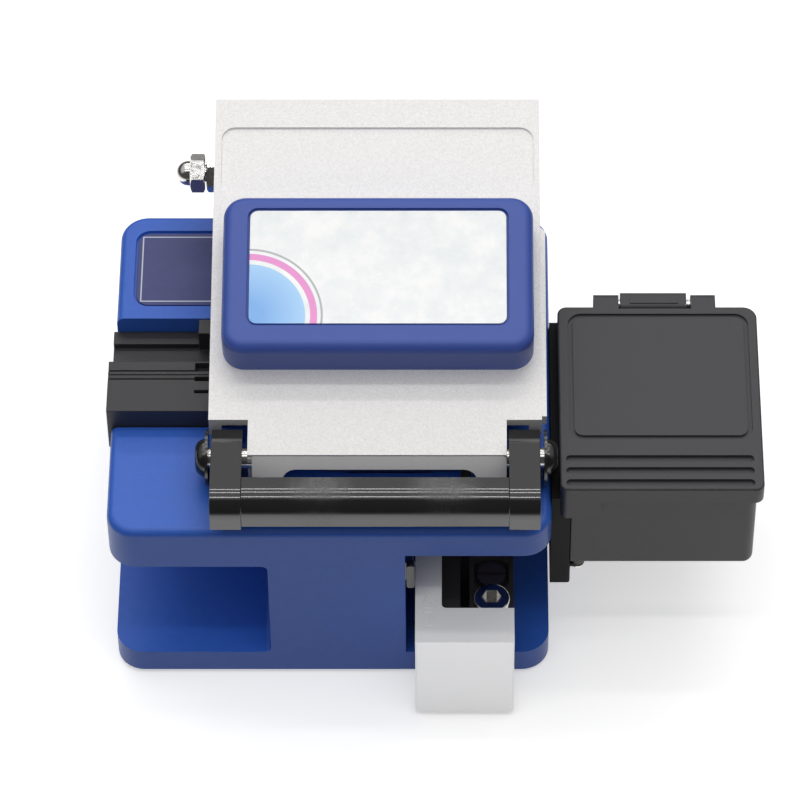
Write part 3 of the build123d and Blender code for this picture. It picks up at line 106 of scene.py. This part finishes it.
# Release bar and its pivot screws, millimetres in the CAD frame
PIVOT_Y, PIVOT_Z = (place / MM for place in joints["release_bar_pivot"]["pos_m"][1:])
PIVOT_BORE = 1.55
BORE_STEPS = 24
BORE_PAST = 1
SHANK_EDGE = (1.7, 1.55)
ARMS = ((-16.6, -12.2), (25.4, 29.8))
BAR_FRONT = -30.57
BAR_TOP = 42.2
BAR_LOW = 36.5
BAR_UNDER = 34.7
BAR_BACK = -25.0
BAR_ROUND = 3.26
BAR_INSET = 0.4
BAR_EDGE = 0.5
BAR_WORN = ((-4.5, 2.0), (12.5, 20.0))
WORN_SOFT = 2.2
ARM_BEND = 1.5
ARM_SLOPE = 3.0
ARM_HEEL = 1.1
ARM_TAIL = 3.5
TAIL_TOP = 40.6
TAIL_LOW = 35.5

# Front face of the lid, millimetres
FLANGE_X = (-10.9, 25.1)
FLANGE_Z = (35.0, 40.55)
FLANGE_Y = -20.46
FLANGE_LEAN = 0.35
FLANGE_DEPTH = 0.05
FLANGE_CORNER = 0.5
NOTCH_X = (-6.7, 21.0)
NOTCH_TOP = 38.45
NOTCH_ROUND = 2.0
NOTCH_STEPS = 8

# Step mark engraved on the lever, millimetres; its outlines are taken from the mark's centre
MARK_CENTRE = (13.95, -31.1)
MARK_DEPTH = 0.2
LEVER_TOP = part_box("push_lever")[1].z / MM
TRIANGLE = ((-0.95, 0.3), (0.95, 0.3), (0, 2.45))
TRIANGLE_LINE = 0.17
BOWL_PLACE = -1.0
BOWL_SIZE = (0.55, 0.6)
BOWL_SWEEP = range(165, -46, -15)
FIGURE_FOOT = ((-0.62, -2.85), (0.68, -2.85))
FIGURE_LINE = 0.2


class Surface:
    """A Principled material with its detail worked out in object space."""

    def __init__(self, name, colour, roughness, metallic=0.0, **sockets):
        self.mat = bpy.data.materials.new(name)
        self.mat.use_nodes = True
        self.tree = self.mat.node_tree
        self.shader = self.tree.nodes["Principled BSDF"]
        self.shader.inputs["Base Color"].default_value = (*colour, 1.0)
        self.shader.inputs["Roughness"].default_value = roughness
        self.shader.inputs["Metallic"].default_value = metallic
        for socket, value in sockets.items():
            self.shader.inputs[socket.replace("_", " ")].default_value = value
        self.place = self.add("ShaderNodeTexCoord").outputs["Object"]
        self.normal = None

    def add(self, kind, **props):
        node = self.tree.nodes.new(kind)
        for key, value in props.items():
            setattr(node, key, value)
        return node

    def link(self, source, target):
        self.tree.links.new(source, target)

    def stretched(self, scale):
        node = self.add("ShaderNodeMapping")
        node.inputs["Scale"].default_value = scale
        self.link(self.place, node.inputs["Vector"])
        return node.outputs["Vector"]

    def noise(self, scale, detail=2.0, stretch=None, rough=0.5):
        node = self.add("ShaderNodeTexNoise")
        node.inputs["Scale"].default_value = scale
        node.inputs["Detail"].default_value = detail
        node.inputs["Roughness"].default_value = rough
        self.link(self.stretched(stretch) if stretch else self.place, node.inputs["Vector"])
        return node.outputs["Fac"]

    def math(self, operation, a, b=None, clamp=False):
        node = self.add("ShaderNodeMath", operation=operation, use_clamp=clamp)
        for socket, value in zip(node.inputs, (a, b)):
            if value is None:
                continue
            if isinstance(value, (int, float)):
                socket.default_value = value
            else:
                self.link(value, socket)
        return node.outputs[0]

    def fit(self, value, low, high, to_low=0.0, to_high=1.0):
        node = self.add("ShaderNodeMapRange")
        for key, number in (("From Min", low), ("From Max", high), ("To Min", to_low), ("To Max", to_high)):
            node.inputs[key].default_value = number
        self.link(value, node.inputs["Value"])
        return node.outputs["Result"]

    def blend_colours(self, factor, a, b):
        node = self.add("ShaderNodeMix", data_type="RGBA")
        self.link(factor, node.inputs["Factor"])
        for socket, value in ((node.inputs[6], a), (node.inputs[7], b)):
            if isinstance(value, tuple):
                socket.default_value = (*value, 1.0)
            else:
                self.link(value, socket)
        return node.outputs[2]

    def colour(self, source):
        self.link(source, self.shader.inputs["Base Color"])

    def roughness(self, source):
        self.link(source, self.shader.inputs["Roughness"])

    def bump(self, height, distance, strength=1.0):
        node = self.add("ShaderNodeBump")
        node.inputs["Distance"].default_value = distance
        node.inputs["Strength"].default_value = strength
        self.link(height, node.inputs["Height"])
        if self.normal:
            self.link(self.normal, node.inputs["Normal"])
        self.normal = node.outputs["Normal"]
        self.link(self.normal, self.shader.inputs["Normal"])

    def axis(self, name):
        node = self.add("ShaderNodeSeparateXYZ")
        self.link(self.place, node.inputs[0])
        return node.outputs[name]

    def upward(self):
        """1 on faces that look straight up or down, 0 on upright ones."""
        node = self.add("ShaderNodeSeparateXYZ")
        self.link(self.add("ShaderNodeTexCoord").outputs["Normal"], node.inputs[0])
        return self.fit(self.math("ABSOLUTE", node.outputs["Z"]), 0.3, 0.9)

    def distance(self, point, stretch):
        """Distance in the plan view from a point, after stretching the axes."""
        node = self.add("ShaderNodeVectorMath", operation="DISTANCE")
        self.link(self.stretched(stretch), node.inputs[0])
        node.inputs[1].default_value = [a * b for a, b in zip(point, stretch)]
        return node.outputs["Value"]

    def inset(self, centre, half):
        """Distance inwards from the sides of an upright rectangle, seen from above."""
        sides = []
        for name, middle, reach in zip("XY", centre, half):
            offset = self.math("ABSOLUTE", self.math("SUBTRACT", self.axis(name), middle))
            sides.append(self.math("SUBTRACT", reach, offset))
        return self.math("MINIMUM", *sides)

    def band(self, value, low, high, soft):
        """1 where the value lies between low and high, with soft edges."""
        rise = self.fit(value, low - soft, low + soft)
        fall = self.fit(value, high + soft, high - soft)
        return self.math("MULTIPLY", rise, fall)


def shade(node_names, surface):
    for name in node_names.split():
        obj = nodes[name]
        obj.data.materials.clear()
        obj.data.materials.append(surface.mat)


def round_edges(node_names, width, segments=2):
    """Small radius on every sharp edge of a CAD node, made by modifiers."""
    for name in node_names.split():
        obj = nodes[name]
        weld = obj.modifiers.new("weld", "WELD")
        weld.merge_threshold = WELD_REACH
        flat = obj.modifiers.new("flat", "DECIMATE")
        flat.decimate_type = "DISSOLVE"
        flat.angle_limit = FLAT_ANGLE
        bevel = obj.modifiers.new("bevel", "BEVEL")
        bevel.width = width
        bevel.segments = segments
        bevel.limit_method = "ANGLE"
        bevel.angle_limit = ROUND_ANGLE
        bevel.use_clamp_overlap = True
        bevel.harden_normals = False
        smooth = obj.modifiers.new("smooth", "WEIGHTED_NORMAL")
        smooth.keep_sharp = False
        smooth.weight = NORMAL_WEIGHT


# Materials

anodised = Surface("blue_anodised", (0.04, 0.145, 0.62), 0.38)
anodised.colour(anodised.blend_colours(anodised.noise(900, 4), (0.029, 0.122, 0.56), (0.040, 0.148, 0.66)))
anodised.bump(anodised.noise(6000, 2), 0.00002, 0.35)

moulding = Surface("blue_moulding", (0.052, 0.105, 0.44), 0.4)
moulding.colour(moulding.blend_colours(moulding.noise(400, 3), (0.049, 0.10, 0.42), (0.055, 0.11, 0.46)))
moulding.bump(moulding.noise(5000, 2), 0.00002, 0.3)

nickel = Surface("nickel_casting", (0.92, 0.90, 0.88), 0.5, 0.25)
grains = nickel.noise(3200, 3)
nickel.colour(nickel.blend_colours(nickel.fit(grains, 0.3, 0.7), (0.87, 0.85, 0.835), (0.99, 0.975, 0.96)))
nickel.roughness(nickel.fit(nickel.noise(1800, 2), 0.3, 0.7, 0.44, 0.56))
nickel.bump(grains, 0.00006, 0.4)

matte_nickel = Surface("matte_nickel", (0.94, 0.92, 0.89), 0.6)
mottling = matte_nickel.noise(2600, 3)
matte_nickel.colour(matte_nickel.blend_colours(mottling, (0.92, 0.90, 0.87), (0.97, 0.955, 0.93)))
matte_nickel.bump(matte_nickel.noise(3200, 2), 0.00002, 0.3)

satin = Surface("satin_aluminium", (0.96, 0.96, 0.97), 0.5, 0.5)
lines = satin.noise(300, 3, stretch=(1, 24, 24))
flat = satin.upward()
satin.link(satin.fit(flat, 0, 1, 0.6, 0.0), satin.shader.inputs["Metallic"])
satin.roughness(satin.math("ADD", satin.fit(lines, 0.3, 0.7, 0.32, 0.42), satin.fit(flat, 0, 1, 0.0, 0.2)))
satin.bump(lines, 0.00002, 0.3)

chrome = Surface("bright_steel", (0.80, 0.785, 0.76), 0.12, 1.0)
chrome.roughness(chrome.fit(chrome.noise(1500, 3), 0.3, 0.7, 0.08, 0.2))

ground = Surface("ground_steel", (0.40, 0.40, 0.40), 0.34, 1.0)
ground.bump(ground.noise(400, 2, stretch=(20, 1, 20)), 0.00002, 0.3)

gloss = Surface("black_gloss", (0.012, 0.0115, 0.012), 0.1, IOR=1.95)
across = gloss.axis("X")
worn = [gloss.band(across, low * MM, high * MM, WORN_SOFT * MM) for low, high in BAR_WORN]
scuffs = gloss.fit(gloss.noise(900, 4, stretch=(1, 0.5, 0.5)), 0.35, 0.65, 0.55, 1.0)
wear = gloss.math("MULTIPLY", gloss.math("ADD", *worn), scuffs)
gloss.roughness(gloss.fit(wear, 0, 1, 0.1, 0.3))
gloss.bump(gloss.noise(700, 2), 0.00002, 0.12)

charcoal = Surface("charcoal_plastic", (0.034, 0.033, 0.037), 0.38)
charcoal.bump(charcoal.noise(4200, 3), 0.00004, 0.5)

spark = Surface("bin_plastic", (0.048, 0.045, 0.050), 0.44)
spark.bump(spark.noise(3600, 3), 0.00005, 0.5)

bracket_black = Surface("bracket_plastic", (0.008, 0.0075, 0.008), 0.6, Specular_IOR_Level=0.2)
bracket_black.bump(bracket_black.noise(3600, 3), 0.00004, 0.4)

rubber = Surface("rubber", (0.02, 0.02, 0.021), 0.8)
rubber.bump(rubber.noise(2500, 3), 0.00005, 0.4)

black_metal = Surface("black_metal", (0.06, 0.056, 0.055), 0.4, 0.2)
black_metal.bump(black_metal.noise(4000, 2), 0.00002, 0.3)

dark_steel = Surface("dark_steel", (0.10, 0.10, 0.10), 0.22, 0.9)
dark_steel.bump(dark_steel.noise(2500, 2), 0.00002, 0.3)

pivot_steel = Surface("pivot_steel", (0.10, 0.10, 0.10), 0.2, 0.9)
reach = pivot_steel.distance((0, PIVOT_Y * MM, PIVOT_Z * MM), (0, 1, 1))
shank = pivot_steel.fit(reach, SHANK_EDGE[0] * MM, SHANK_EDGE[1] * MM)
pivot_steel.colour(pivot_steel.blend_colours(shank, (0.09, 0.09, 0.09), (0.85, 0.83, 0.80)))
pivot_steel.bump(pivot_steel.noise(2500, 2), 0.00001, 0.3)

brass = Surface("brass", (0.72, 0.55, 0.27), 0.25, 1.0)
brass.roughness(brass.fit(brass.noise(1500, 3), 0.3, 0.7, 0.2, 0.35))

dial = Surface("dial_black", (0.045, 0.038, 0.055), 0.5)
dial.bump(dial.noise(3000, 2), 0.00003, 0.4)


def make_pearl():
    """Pearly plate with a blue quarter disc and a pink ring in its lower left corner."""
    pearl = Surface("pearl_label", (0.82, 0.84, 0.85), 0.3, 0.3, Coat_Weight=0.4, Coat_Roughness=0.15)
    cloud = pearl.fit(pearl.noise(220, 5, rough=0.7), 0.35, 0.65)
    colour = pearl.blend_colours(cloud, (0.80, 0.83, 0.84), (0.92, 0.92, 0.91))
    reach = pearl.distance((DISC_CENTRE[0] * MM, DISC_CENTRE[1] * MM, 0), (1, 1 / cos(LID_TILT), 0))
    fade = pearl.fit(reach, DISC_FADE[0] * MM, DISC_FADE[1] * MM)
    sky = pearl.blend_colours(fade, (0.20, 0.42, 0.80), (0.42, 0.66, 0.92))
    disc = (-1, DISC_RADIUS), sky
    pink = PINK_RING, (0.80, 0.30, 0.62)
    grey = GREY_RING, (0.45, 0.46, 0.48)
    for (low, high), paint in (disc, pink, grey):
        colour = pearl.blend_colours(pearl.band(reach, low * MM, high * MM, LINE_SOFT * MM), colour, paint)
    pearl.colour(colour)
    return pearl


def make_deck_label():
    """Dark blue plate with a thin pale border line."""
    label = Surface("deck_label", (0.05, 0.06, 0.20), 0.4)
    low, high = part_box("deck_label_plate")
    centre = [(low[i] + high[i]) / 2 for i in (0, 1)]
    half = [(high[i] - low[i]) / 2 for i in (0, 1)]
    line = label.band(label.inset(centre, half), DECK_LINE[0] * MM, DECK_LINE[1] * MM, LINE_SOFT * MM)
    mottle = label.blend_colours(label.noise(700, 3), (0.045, 0.052, 0.18), (0.058, 0.07, 0.225))
    label.colour(label.blend_colours(line, mottle, (0.62, 0.66, 0.78)))
    label.bump(label.noise(5000, 2), 0.00001, 0.3)
    return label


shade("body_frame", anodised)
shade("lid_cap", moulding)
shade("lid_casting", nickel)
shade("push_lever", satin)
shade("hinge_shaft hinge_jam_nut hinge_cap_nut cap_screws clamp_screws hinge_bracket_screws", chrome)
shade("rail_screws shoe_screws lever_screws dial_clamp_screw blade_washer blade_screw", chrome)
shade("bin_bracket_screws bin_foot_screws bin_hinge_rod", chrome)
shade("rail_stops", dark_steel)
shade("slide_rail slide_shoe blade_wheel anvil_plunger anvil_spring deck_magnet keeper_plate", ground)
shade("fibre_adapter", charcoal)
shade("bin_bracket", bracket_black)
shade("bin_box bin_lid", spark)
shade("base_pad lower_clamp_pads upper_clamp_pads", rubber)
shade("hinge_bracket lower_clamp_blocks carriage_block upper_clamp_block", black_metal)
shade("bar_washers", dark_steel)
shade("bar_pivot_screws", pivot_steel)
shade("cap_label_plate", make_pearl())
shade("deck_label_plate", make_deck_label())
shade("height_dial", dial)
shade("anvil_bush", brass)

round_edges("body_frame", 0.25 * MM)
round_edges("lid_casting", 0.22 * MM)
round_edges("push_lever", 0.12 * MM)
round_edges("fibre_adapter bin_box bin_bracket hinge_bracket carriage_block", 0.15 * MM)
round_edges("bin_lid", 0.2 * MM, 3)
round_edges("rail_stops slide_shoe keeper_plate cap_label_plate deck_label_plate", 0.08 * MM)


# Meshes from outlines

def add_mesh(name, verts, faces):
    mesh = bpy.data.meshes.new(name)
    mesh.from_pydata(verts, [], faces)
    obj = bpy.data.objects.new(name, mesh)
    scene.collection.objects.link(obj)
    return obj


def face_outwards(obj):
    shell = bmesh.new()
    shell.from_mesh(obj.data)
    bmesh.ops.recalc_face_normals(shell, faces=shell.faces)
    shell.to_mesh(obj.data)
    shell.free()


def rounded(corners, steps=ARC_STEPS):
    """Outline through (a, b, radius) corners, with an arc wherever the radius isn't 0."""
    outline = []
    for i, (a, b, radius) in enumerate(corners):
        before, after = corners[i - 1], corners[(i + 1) % len(corners)]
        if radius == 0:
            outline.append((a, b))
            continue
        sides = []
        for other in (before, after):
            span = hypot(other[0] - a, other[1] - b)
            sides.append(((other[0] - a) / span, (other[1] - b) / span))
        middle = (sides[0][0] + sides[1][0], sides[0][1] + sides[1][1])
        length = hypot(*middle)
        half = atan2(hypot(sides[0][0] - middle[0] / 2, sides[0][1] - middle[1] / 2), length / 2)
        reach = radius / sin(half)
        centre = (a + middle[0] / length * reach, b + middle[1] / length * reach)
        tangents = [(a + side[0] * radius / tan(half), b + side[1] * radius / tan(half)) for side in sides]
        start, stop = (atan2(point[1] - centre[1], point[0] - centre[0]) for point in tangents)
        sweep = (stop - start + pi) % (2 * pi) - pi
        for k in range(steps + 1):
            turn = start + sweep * k / steps
            outline.append((centre[0] + radius * cos(turn), centre[1] + radius * sin(turn)))
    return outline


def prism(name, outline, place):
    """Closed solid between two copies of an outline; place(point, end) gives the corner in millimetres."""
    count = len(outline)
    verts = [[v * MM for v in place(point, end)] for end in (0, 1) for point in outline]
    faces = [(i, (i + 1) % count, count + (i + 1) % count, count + i) for i in range(count)]
    faces += [tuple(range(count)), tuple(range(count, 2 * count))]
    obj = add_mesh(name, verts, faces)
    face_outwards(obj)
    return obj


def joined(name, base, others):
    """New object from a base solid with other solids added or cut away."""
    for operation, other in others:
        step = base.modifiers.new("step", "BOOLEAN")
        step.operation = operation
        step.solver = "EXACT"
        step.object = other
    bpy.context.view_layer.update()
    whole = base.evaluated_get(bpy.context.evaluated_depsgraph_get())
    mesh = bpy.data.meshes.new_from_object(whole)
    mesh.name = name
    obj = bpy.data.objects.new(name, mesh)
    scene.collection.objects.link(obj)
    for used in [base] + [other for operation, other in others]:
        bpy.data.objects.remove(used)
    return obj


# Release bar, deeper and rounder at its front than its CAD solid

def along_x(x0, x1):
    return lambda point, end: (x1 if end else x0, point[0], point[1])


def make_bar():
    cross = rounded([
        (BAR_BACK, BAR_LOW + BAR_INSET / 2, 0),
        (BAR_BACK, BAR_TOP - BAR_INSET, 0),
        (BAR_FRONT + BAR_INSET, BAR_TOP - BAR_INSET, BAR_ROUND),
        (BAR_FRONT + BAR_INSET, BAR_LOW + BAR_INSET / 2, BAR_EDGE),
    ])
    arm = rounded([
        (BAR_FRONT, BAR_LOW, BAR_EDGE),
        (BAR_BACK, BAR_LOW, ARM_BEND),
        (PIVOT_Y - ARM_SLOPE, BAR_UNDER, ARM_BEND),
        (PIVOT_Y + ARM_HEEL, BAR_UNDER, BAR_EDGE),
        (PIVOT_Y + ARM_TAIL, TAIL_LOW, BAR_EDGE),
        (PIVOT_Y + ARM_TAIL, TAIL_TOP, BAR_EDGE),
        (PIVOT_Y, BAR_TOP, BAR_EDGE),
        (BAR_FRONT, BAR_TOP, BAR_ROUND),
    ])
    turns = [2 * pi * step / BORE_STEPS for step in range(BORE_STEPS)]
    bore = [(PIVOT_Y + PIVOT_BORE * cos(turn), PIVOT_Z + PIVOT_BORE * sin(turn)) for turn in turns]
    (left0, left1), (right0, right1) = ARMS
    middle = (left0 + left1) / 2, (right0 + right1) / 2
    base = prism("cross", cross, along_x(*middle))
    others = [("UNION", prism("arm", arm, along_x(x0, x1))) for x0, x1 in ARMS]
    others += [("DIFFERENCE", prism("bore", bore, along_x(x0 - BORE_PAST, x1 + BORE_PAST))) for x0, x1 in ARMS]
    bar = joined("rounded_bar", base, others)
    bar.data.materials.append(gloss.mat)
    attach(bar, "release_bar")
    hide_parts("release_bar")
    nodes["rounded_bar"] = bar
    round_edges("rounded_bar", 0.18 * MM, 3)


make_bar()


# Cast front face of the lid, over the flange and its arched notch

def make_flange_face():
    (x0, x1), (low, high), (notch0, notch1) = FLANGE_X, FLANGE_Z, NOTCH_X
    outline = rounded([
        (x0, low, 0),
        (notch0, low, 0),
        (notch0, NOTCH_TOP, NOTCH_ROUND),
        (notch1, NOTCH_TOP, NOTCH_ROUND),
        (notch1, low, 0),
        (x1, low, 0),
        (x1, high, FLANGE_CORNER),
        (x0, high, FLANGE_CORNER),
    ], NOTCH_STEPS)

    def place(point, end):
        lean = FLANGE_DEPTH if end else -FLANGE_LEAN * (high - point[1])
        return point[0], FLANGE_Y + lean, point[1]

    face = prism("lid_front_face", outline, place)
    face.data.materials.append(matte_nickel.mat)
    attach(face, "lid")
    nodes["lid_front_face"] = face
    round_edges("lid_front_face", 0.1 * MM)


make_flange_face()


# Step mark engraved on the lever: a triangle over the figure 2

def ribbon(points, half, closed):
    """Left and right sides of a line of a given half width."""
    sides = []
    count = len(points)
    for i, point in enumerate(points):
        before = points[i - 1] if closed or i else point
        after = points[(i + 1) % count] if closed or i < count - 1 else point
        turns = []
        for start, stop in ((before, point), (point, after)):
            if start != stop:
                turns.append(atan2(stop[1] - start[1], stop[0] - start[0]))
        change = (turns[-1] - turns[0] + pi) % (2 * pi) - pi
        across = turns[0] + change / 2 + pi / 2
        reach = half / cos(change / 2)
        step = (cos(across) * reach, sin(across) * reach)
        sides.append(((point[0] + step[0], point[1] + step[1]), (point[0] - step[0], point[1] - step[1])))
    return sides


def groove(name, points, half, closed):
    """Closed band solid that reaches from MARK_DEPTH under the lever's top to above it."""
    sides = ribbon(points, half, closed)
    verts = []
    for left, right in sides:
        for height in (LEVER_TOP - MARK_DEPTH, LEVER_TOP + MARK_DEPTH):
            verts += [(side[0] * MM, side[1] * MM, height * MM) for side in (left, right)]
    faces = []
    count = len(sides)
    for i in range(count if closed else count - 1):
        a, b = 4 * i, 4 * ((i + 1) % count)
        faces += [(a, a + 1, b + 1, b), (a + 2, b + 2, b + 3, a + 3)]
        faces += [(a, b, b + 2, a + 2), (a + 1, a + 3, b + 3, b + 1)]
    if not closed:
        last = 4 * (count - 1)
        faces += [(0, 2, 3, 1), (last, last + 1, last + 3, last + 2)]
    obj = add_mesh(name, verts, faces)
    face_outwards(obj)
    return obj


def engrave_lever():
    x, y = MARK_CENTRE
    wide, tall = BOWL_SIZE
    bowl = [(wide * cos(radians(turn)), BOWL_PLACE + tall * sin(radians(turn))) for turn in BOWL_SWEEP]
    triangle = [(x + a, y + b) for a, b in TRIANGLE]
    figure = [(x + a, y + b) for a, b in (*bowl, *FIGURE_FOOT)]
    cutters = [
        groove("triangle_groove", triangle, TRIANGLE_LINE, True),
        groove("figure_groove", figure, FIGURE_LINE, False),
    ]
    lever = nodes["push_lever"]
    split = lever.modifiers.new("split", "EDGE_SPLIT")
    split.split_angle = SPLIT_ANGLE
    lever.modifiers.move(lever.modifiers.find("split"), lever.modifiers.find("smooth"))
    for cutter in cutters:
        cutter.hide_render = True
        cutter.data.materials.append(satin.mat)
        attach(cutter, "carriage")
        cut = lever.modifiers.new("engraving", "BOOLEAN")
        cut.operation = "DIFFERENCE"
        cut.solver = "EXACT"
        cut.object = cutter
        lever.modifiers.move(lever.modifiers.find(cut.name), lever.modifiers.find("split"))


engrave_lever()


# Floor, light and camera

def seen_mask(tree):
    """1 for camera, glossy and transmission rays, 0 for the rays that only carry light."""
    path = tree.nodes.new("ShaderNodeLightPath")
    mask = path.outputs["Is Camera Ray"]
    for ray in ("Is Glossy Ray", "Is Transmission Ray"):
        larger = tree.nodes.new("ShaderNodeMath")
        larger.operation = "MAXIMUM"
        tree.links.new(mask, larger.inputs[0])
        tree.links.new(path.outputs[ray], larger.inputs[1])
        mask = larger.outputs[0]
    return mask


def mix_value(tree, factor, low, high):
    node = tree.nodes.new("ShaderNodeMapRange")
    tree.links.new(factor, node.inputs["Value"])
    for key, value in (("To Min", low), ("To Max", high)):
        if isinstance(value, float):
            node.inputs[key].default_value = value
        else:
            tree.links.new(value, node.inputs[key])
    return node.outputs["Result"]


def spread(tree, value, *limits):
    """Soft step; the limits are those of the value and then those of the result."""
    node = tree.nodes.new("ShaderNodeMapRange")
    node.interpolation_type = "SMOOTHSTEP"
    tree.links.new(value, node.inputs["Value"])
    for key, number in zip(("From Min", "From Max", "To Min", "To Max"), limits):
        node.inputs[key].default_value = number
    return node.outputs["Result"]


def make_floor():
    corners = [(x * FLOOR_HALF, y * FLOOR_HALF, 0) for x, y in ((-1, -1), (1, -1), (1, 1), (-1, 1))]
    floor = add_mesh("floor", corners, [(0, 1, 2, 3)])
    paper = Surface("floor_paper", (FLOOR_SEEN,) * 3, 0.9, Specular_IOR_Level=0.1)
    reach = paper.distance((0, 0, 0), (1, 1, 1))
    near = spread(paper.tree, reach, FLOOR_NEAR, FLOOR_FAR, 1.0, FLOOR_REST)
    seen = paper.math("MULTIPLY", seen_mask(paper.tree), near)
    paper.link(mix_value(paper.tree, seen, FLOOR_LIT, FLOOR_SEEN), paper.shader.inputs["Base Color"])
    paper.shader.inputs["Emission Color"].default_value = (1, 1, 1, 1)
    paper.link(mix_value(paper.tree, seen, 0.0, FLOOR_GLOW), paper.shader.inputs["Emission Strength"])
    floor.data.materials.append(paper.mat)


def make_world():
    """White to the camera; in reflections pale behind the object and overhead, dark elsewhere."""
    world = bpy.data.worlds.new("studio")
    scene.world = world
    world.use_nodes = True
    tree = world.node_tree
    background = tree.nodes["Background"]
    background.inputs["Color"].default_value = (1, 1, 1, 1)
    coord = tree.nodes.new("ShaderNodeTexCoord")
    axes = tree.nodes.new("ShaderNodeSeparateXYZ")
    tree.links.new(coord.outputs["Generated"], axes.inputs[0])
    light = spread(tree, axes.outputs["Z"], 0.0, 1.0, WORLD_LOW, WORLD_HIGH)
    behind = spread(tree, axes.outputs["Y"], *MIRROR_BEHIND, 0.0, 1.0)
    above = spread(tree, axes.outputs["Z"], *MIRROR_ABOVE, 0.0, 1.0)
    soft = tree.nodes.new("ShaderNodeMath")
    soft.operation = "MULTIPLY"
    tree.links.new(behind, soft.inputs[0])
    tree.links.new(above, soft.inputs[1])
    mirrored = mix_value(tree, soft.outputs[0], MIRROR_DARK, MIRROR_BRIGHT)
    path = tree.nodes.new("ShaderNodeLightPath")
    strength = mix_value(tree, seen_mask(tree), light, mirrored)
    strength = mix_value(tree, path.outputs["Is Camera Ray"], strength, 1.0)
    tree.links.new(strength, background.inputs["Strength"])


def tube_lamp(name, angle):
    """Long lamp parallel to X, at an angle from the vertical towards the user, aimed at the release bar."""
    lamp = bpy.data.lights.new(name, "AREA")
    lamp.shape = "RECTANGLE"
    lamp.size, lamp.size_y = TUBE_LENGTH, TUBE_WIDTH
    lamp.energy = TUBE_POWER
    obj = bpy.data.objects.new(name, lamp)
    tilt = radians(angle)
    y, z = BAR_PLACE
    obj.location = (0, y - TUBE_DISTANCE * sin(tilt), z + TUBE_DISTANCE * cos(tilt))
    obj.rotation_euler = (tilt, 0, 0)
    scene.collection.objects.link(obj)


make_floor()
make_world()
for name, angle in TUBES:
    tube_lamp(name, angle)

camera_data = bpy.data.cameras.new("camera")
camera_data.lens = CAMERA_LENS
camera_data.sensor_width = CAMERA_SENSOR
camera_data.shift_x = CAMERA_SHIFT
camera = bpy.data.objects.new("camera", camera_data)
camera.location = CAMERA_PLACE
camera.rotation_euler = (CAMERA_TILT, 0, 0)
scene.collection.objects.link(camera)
scene.camera = camera

scene.view_settings.view_transform = "Standard"
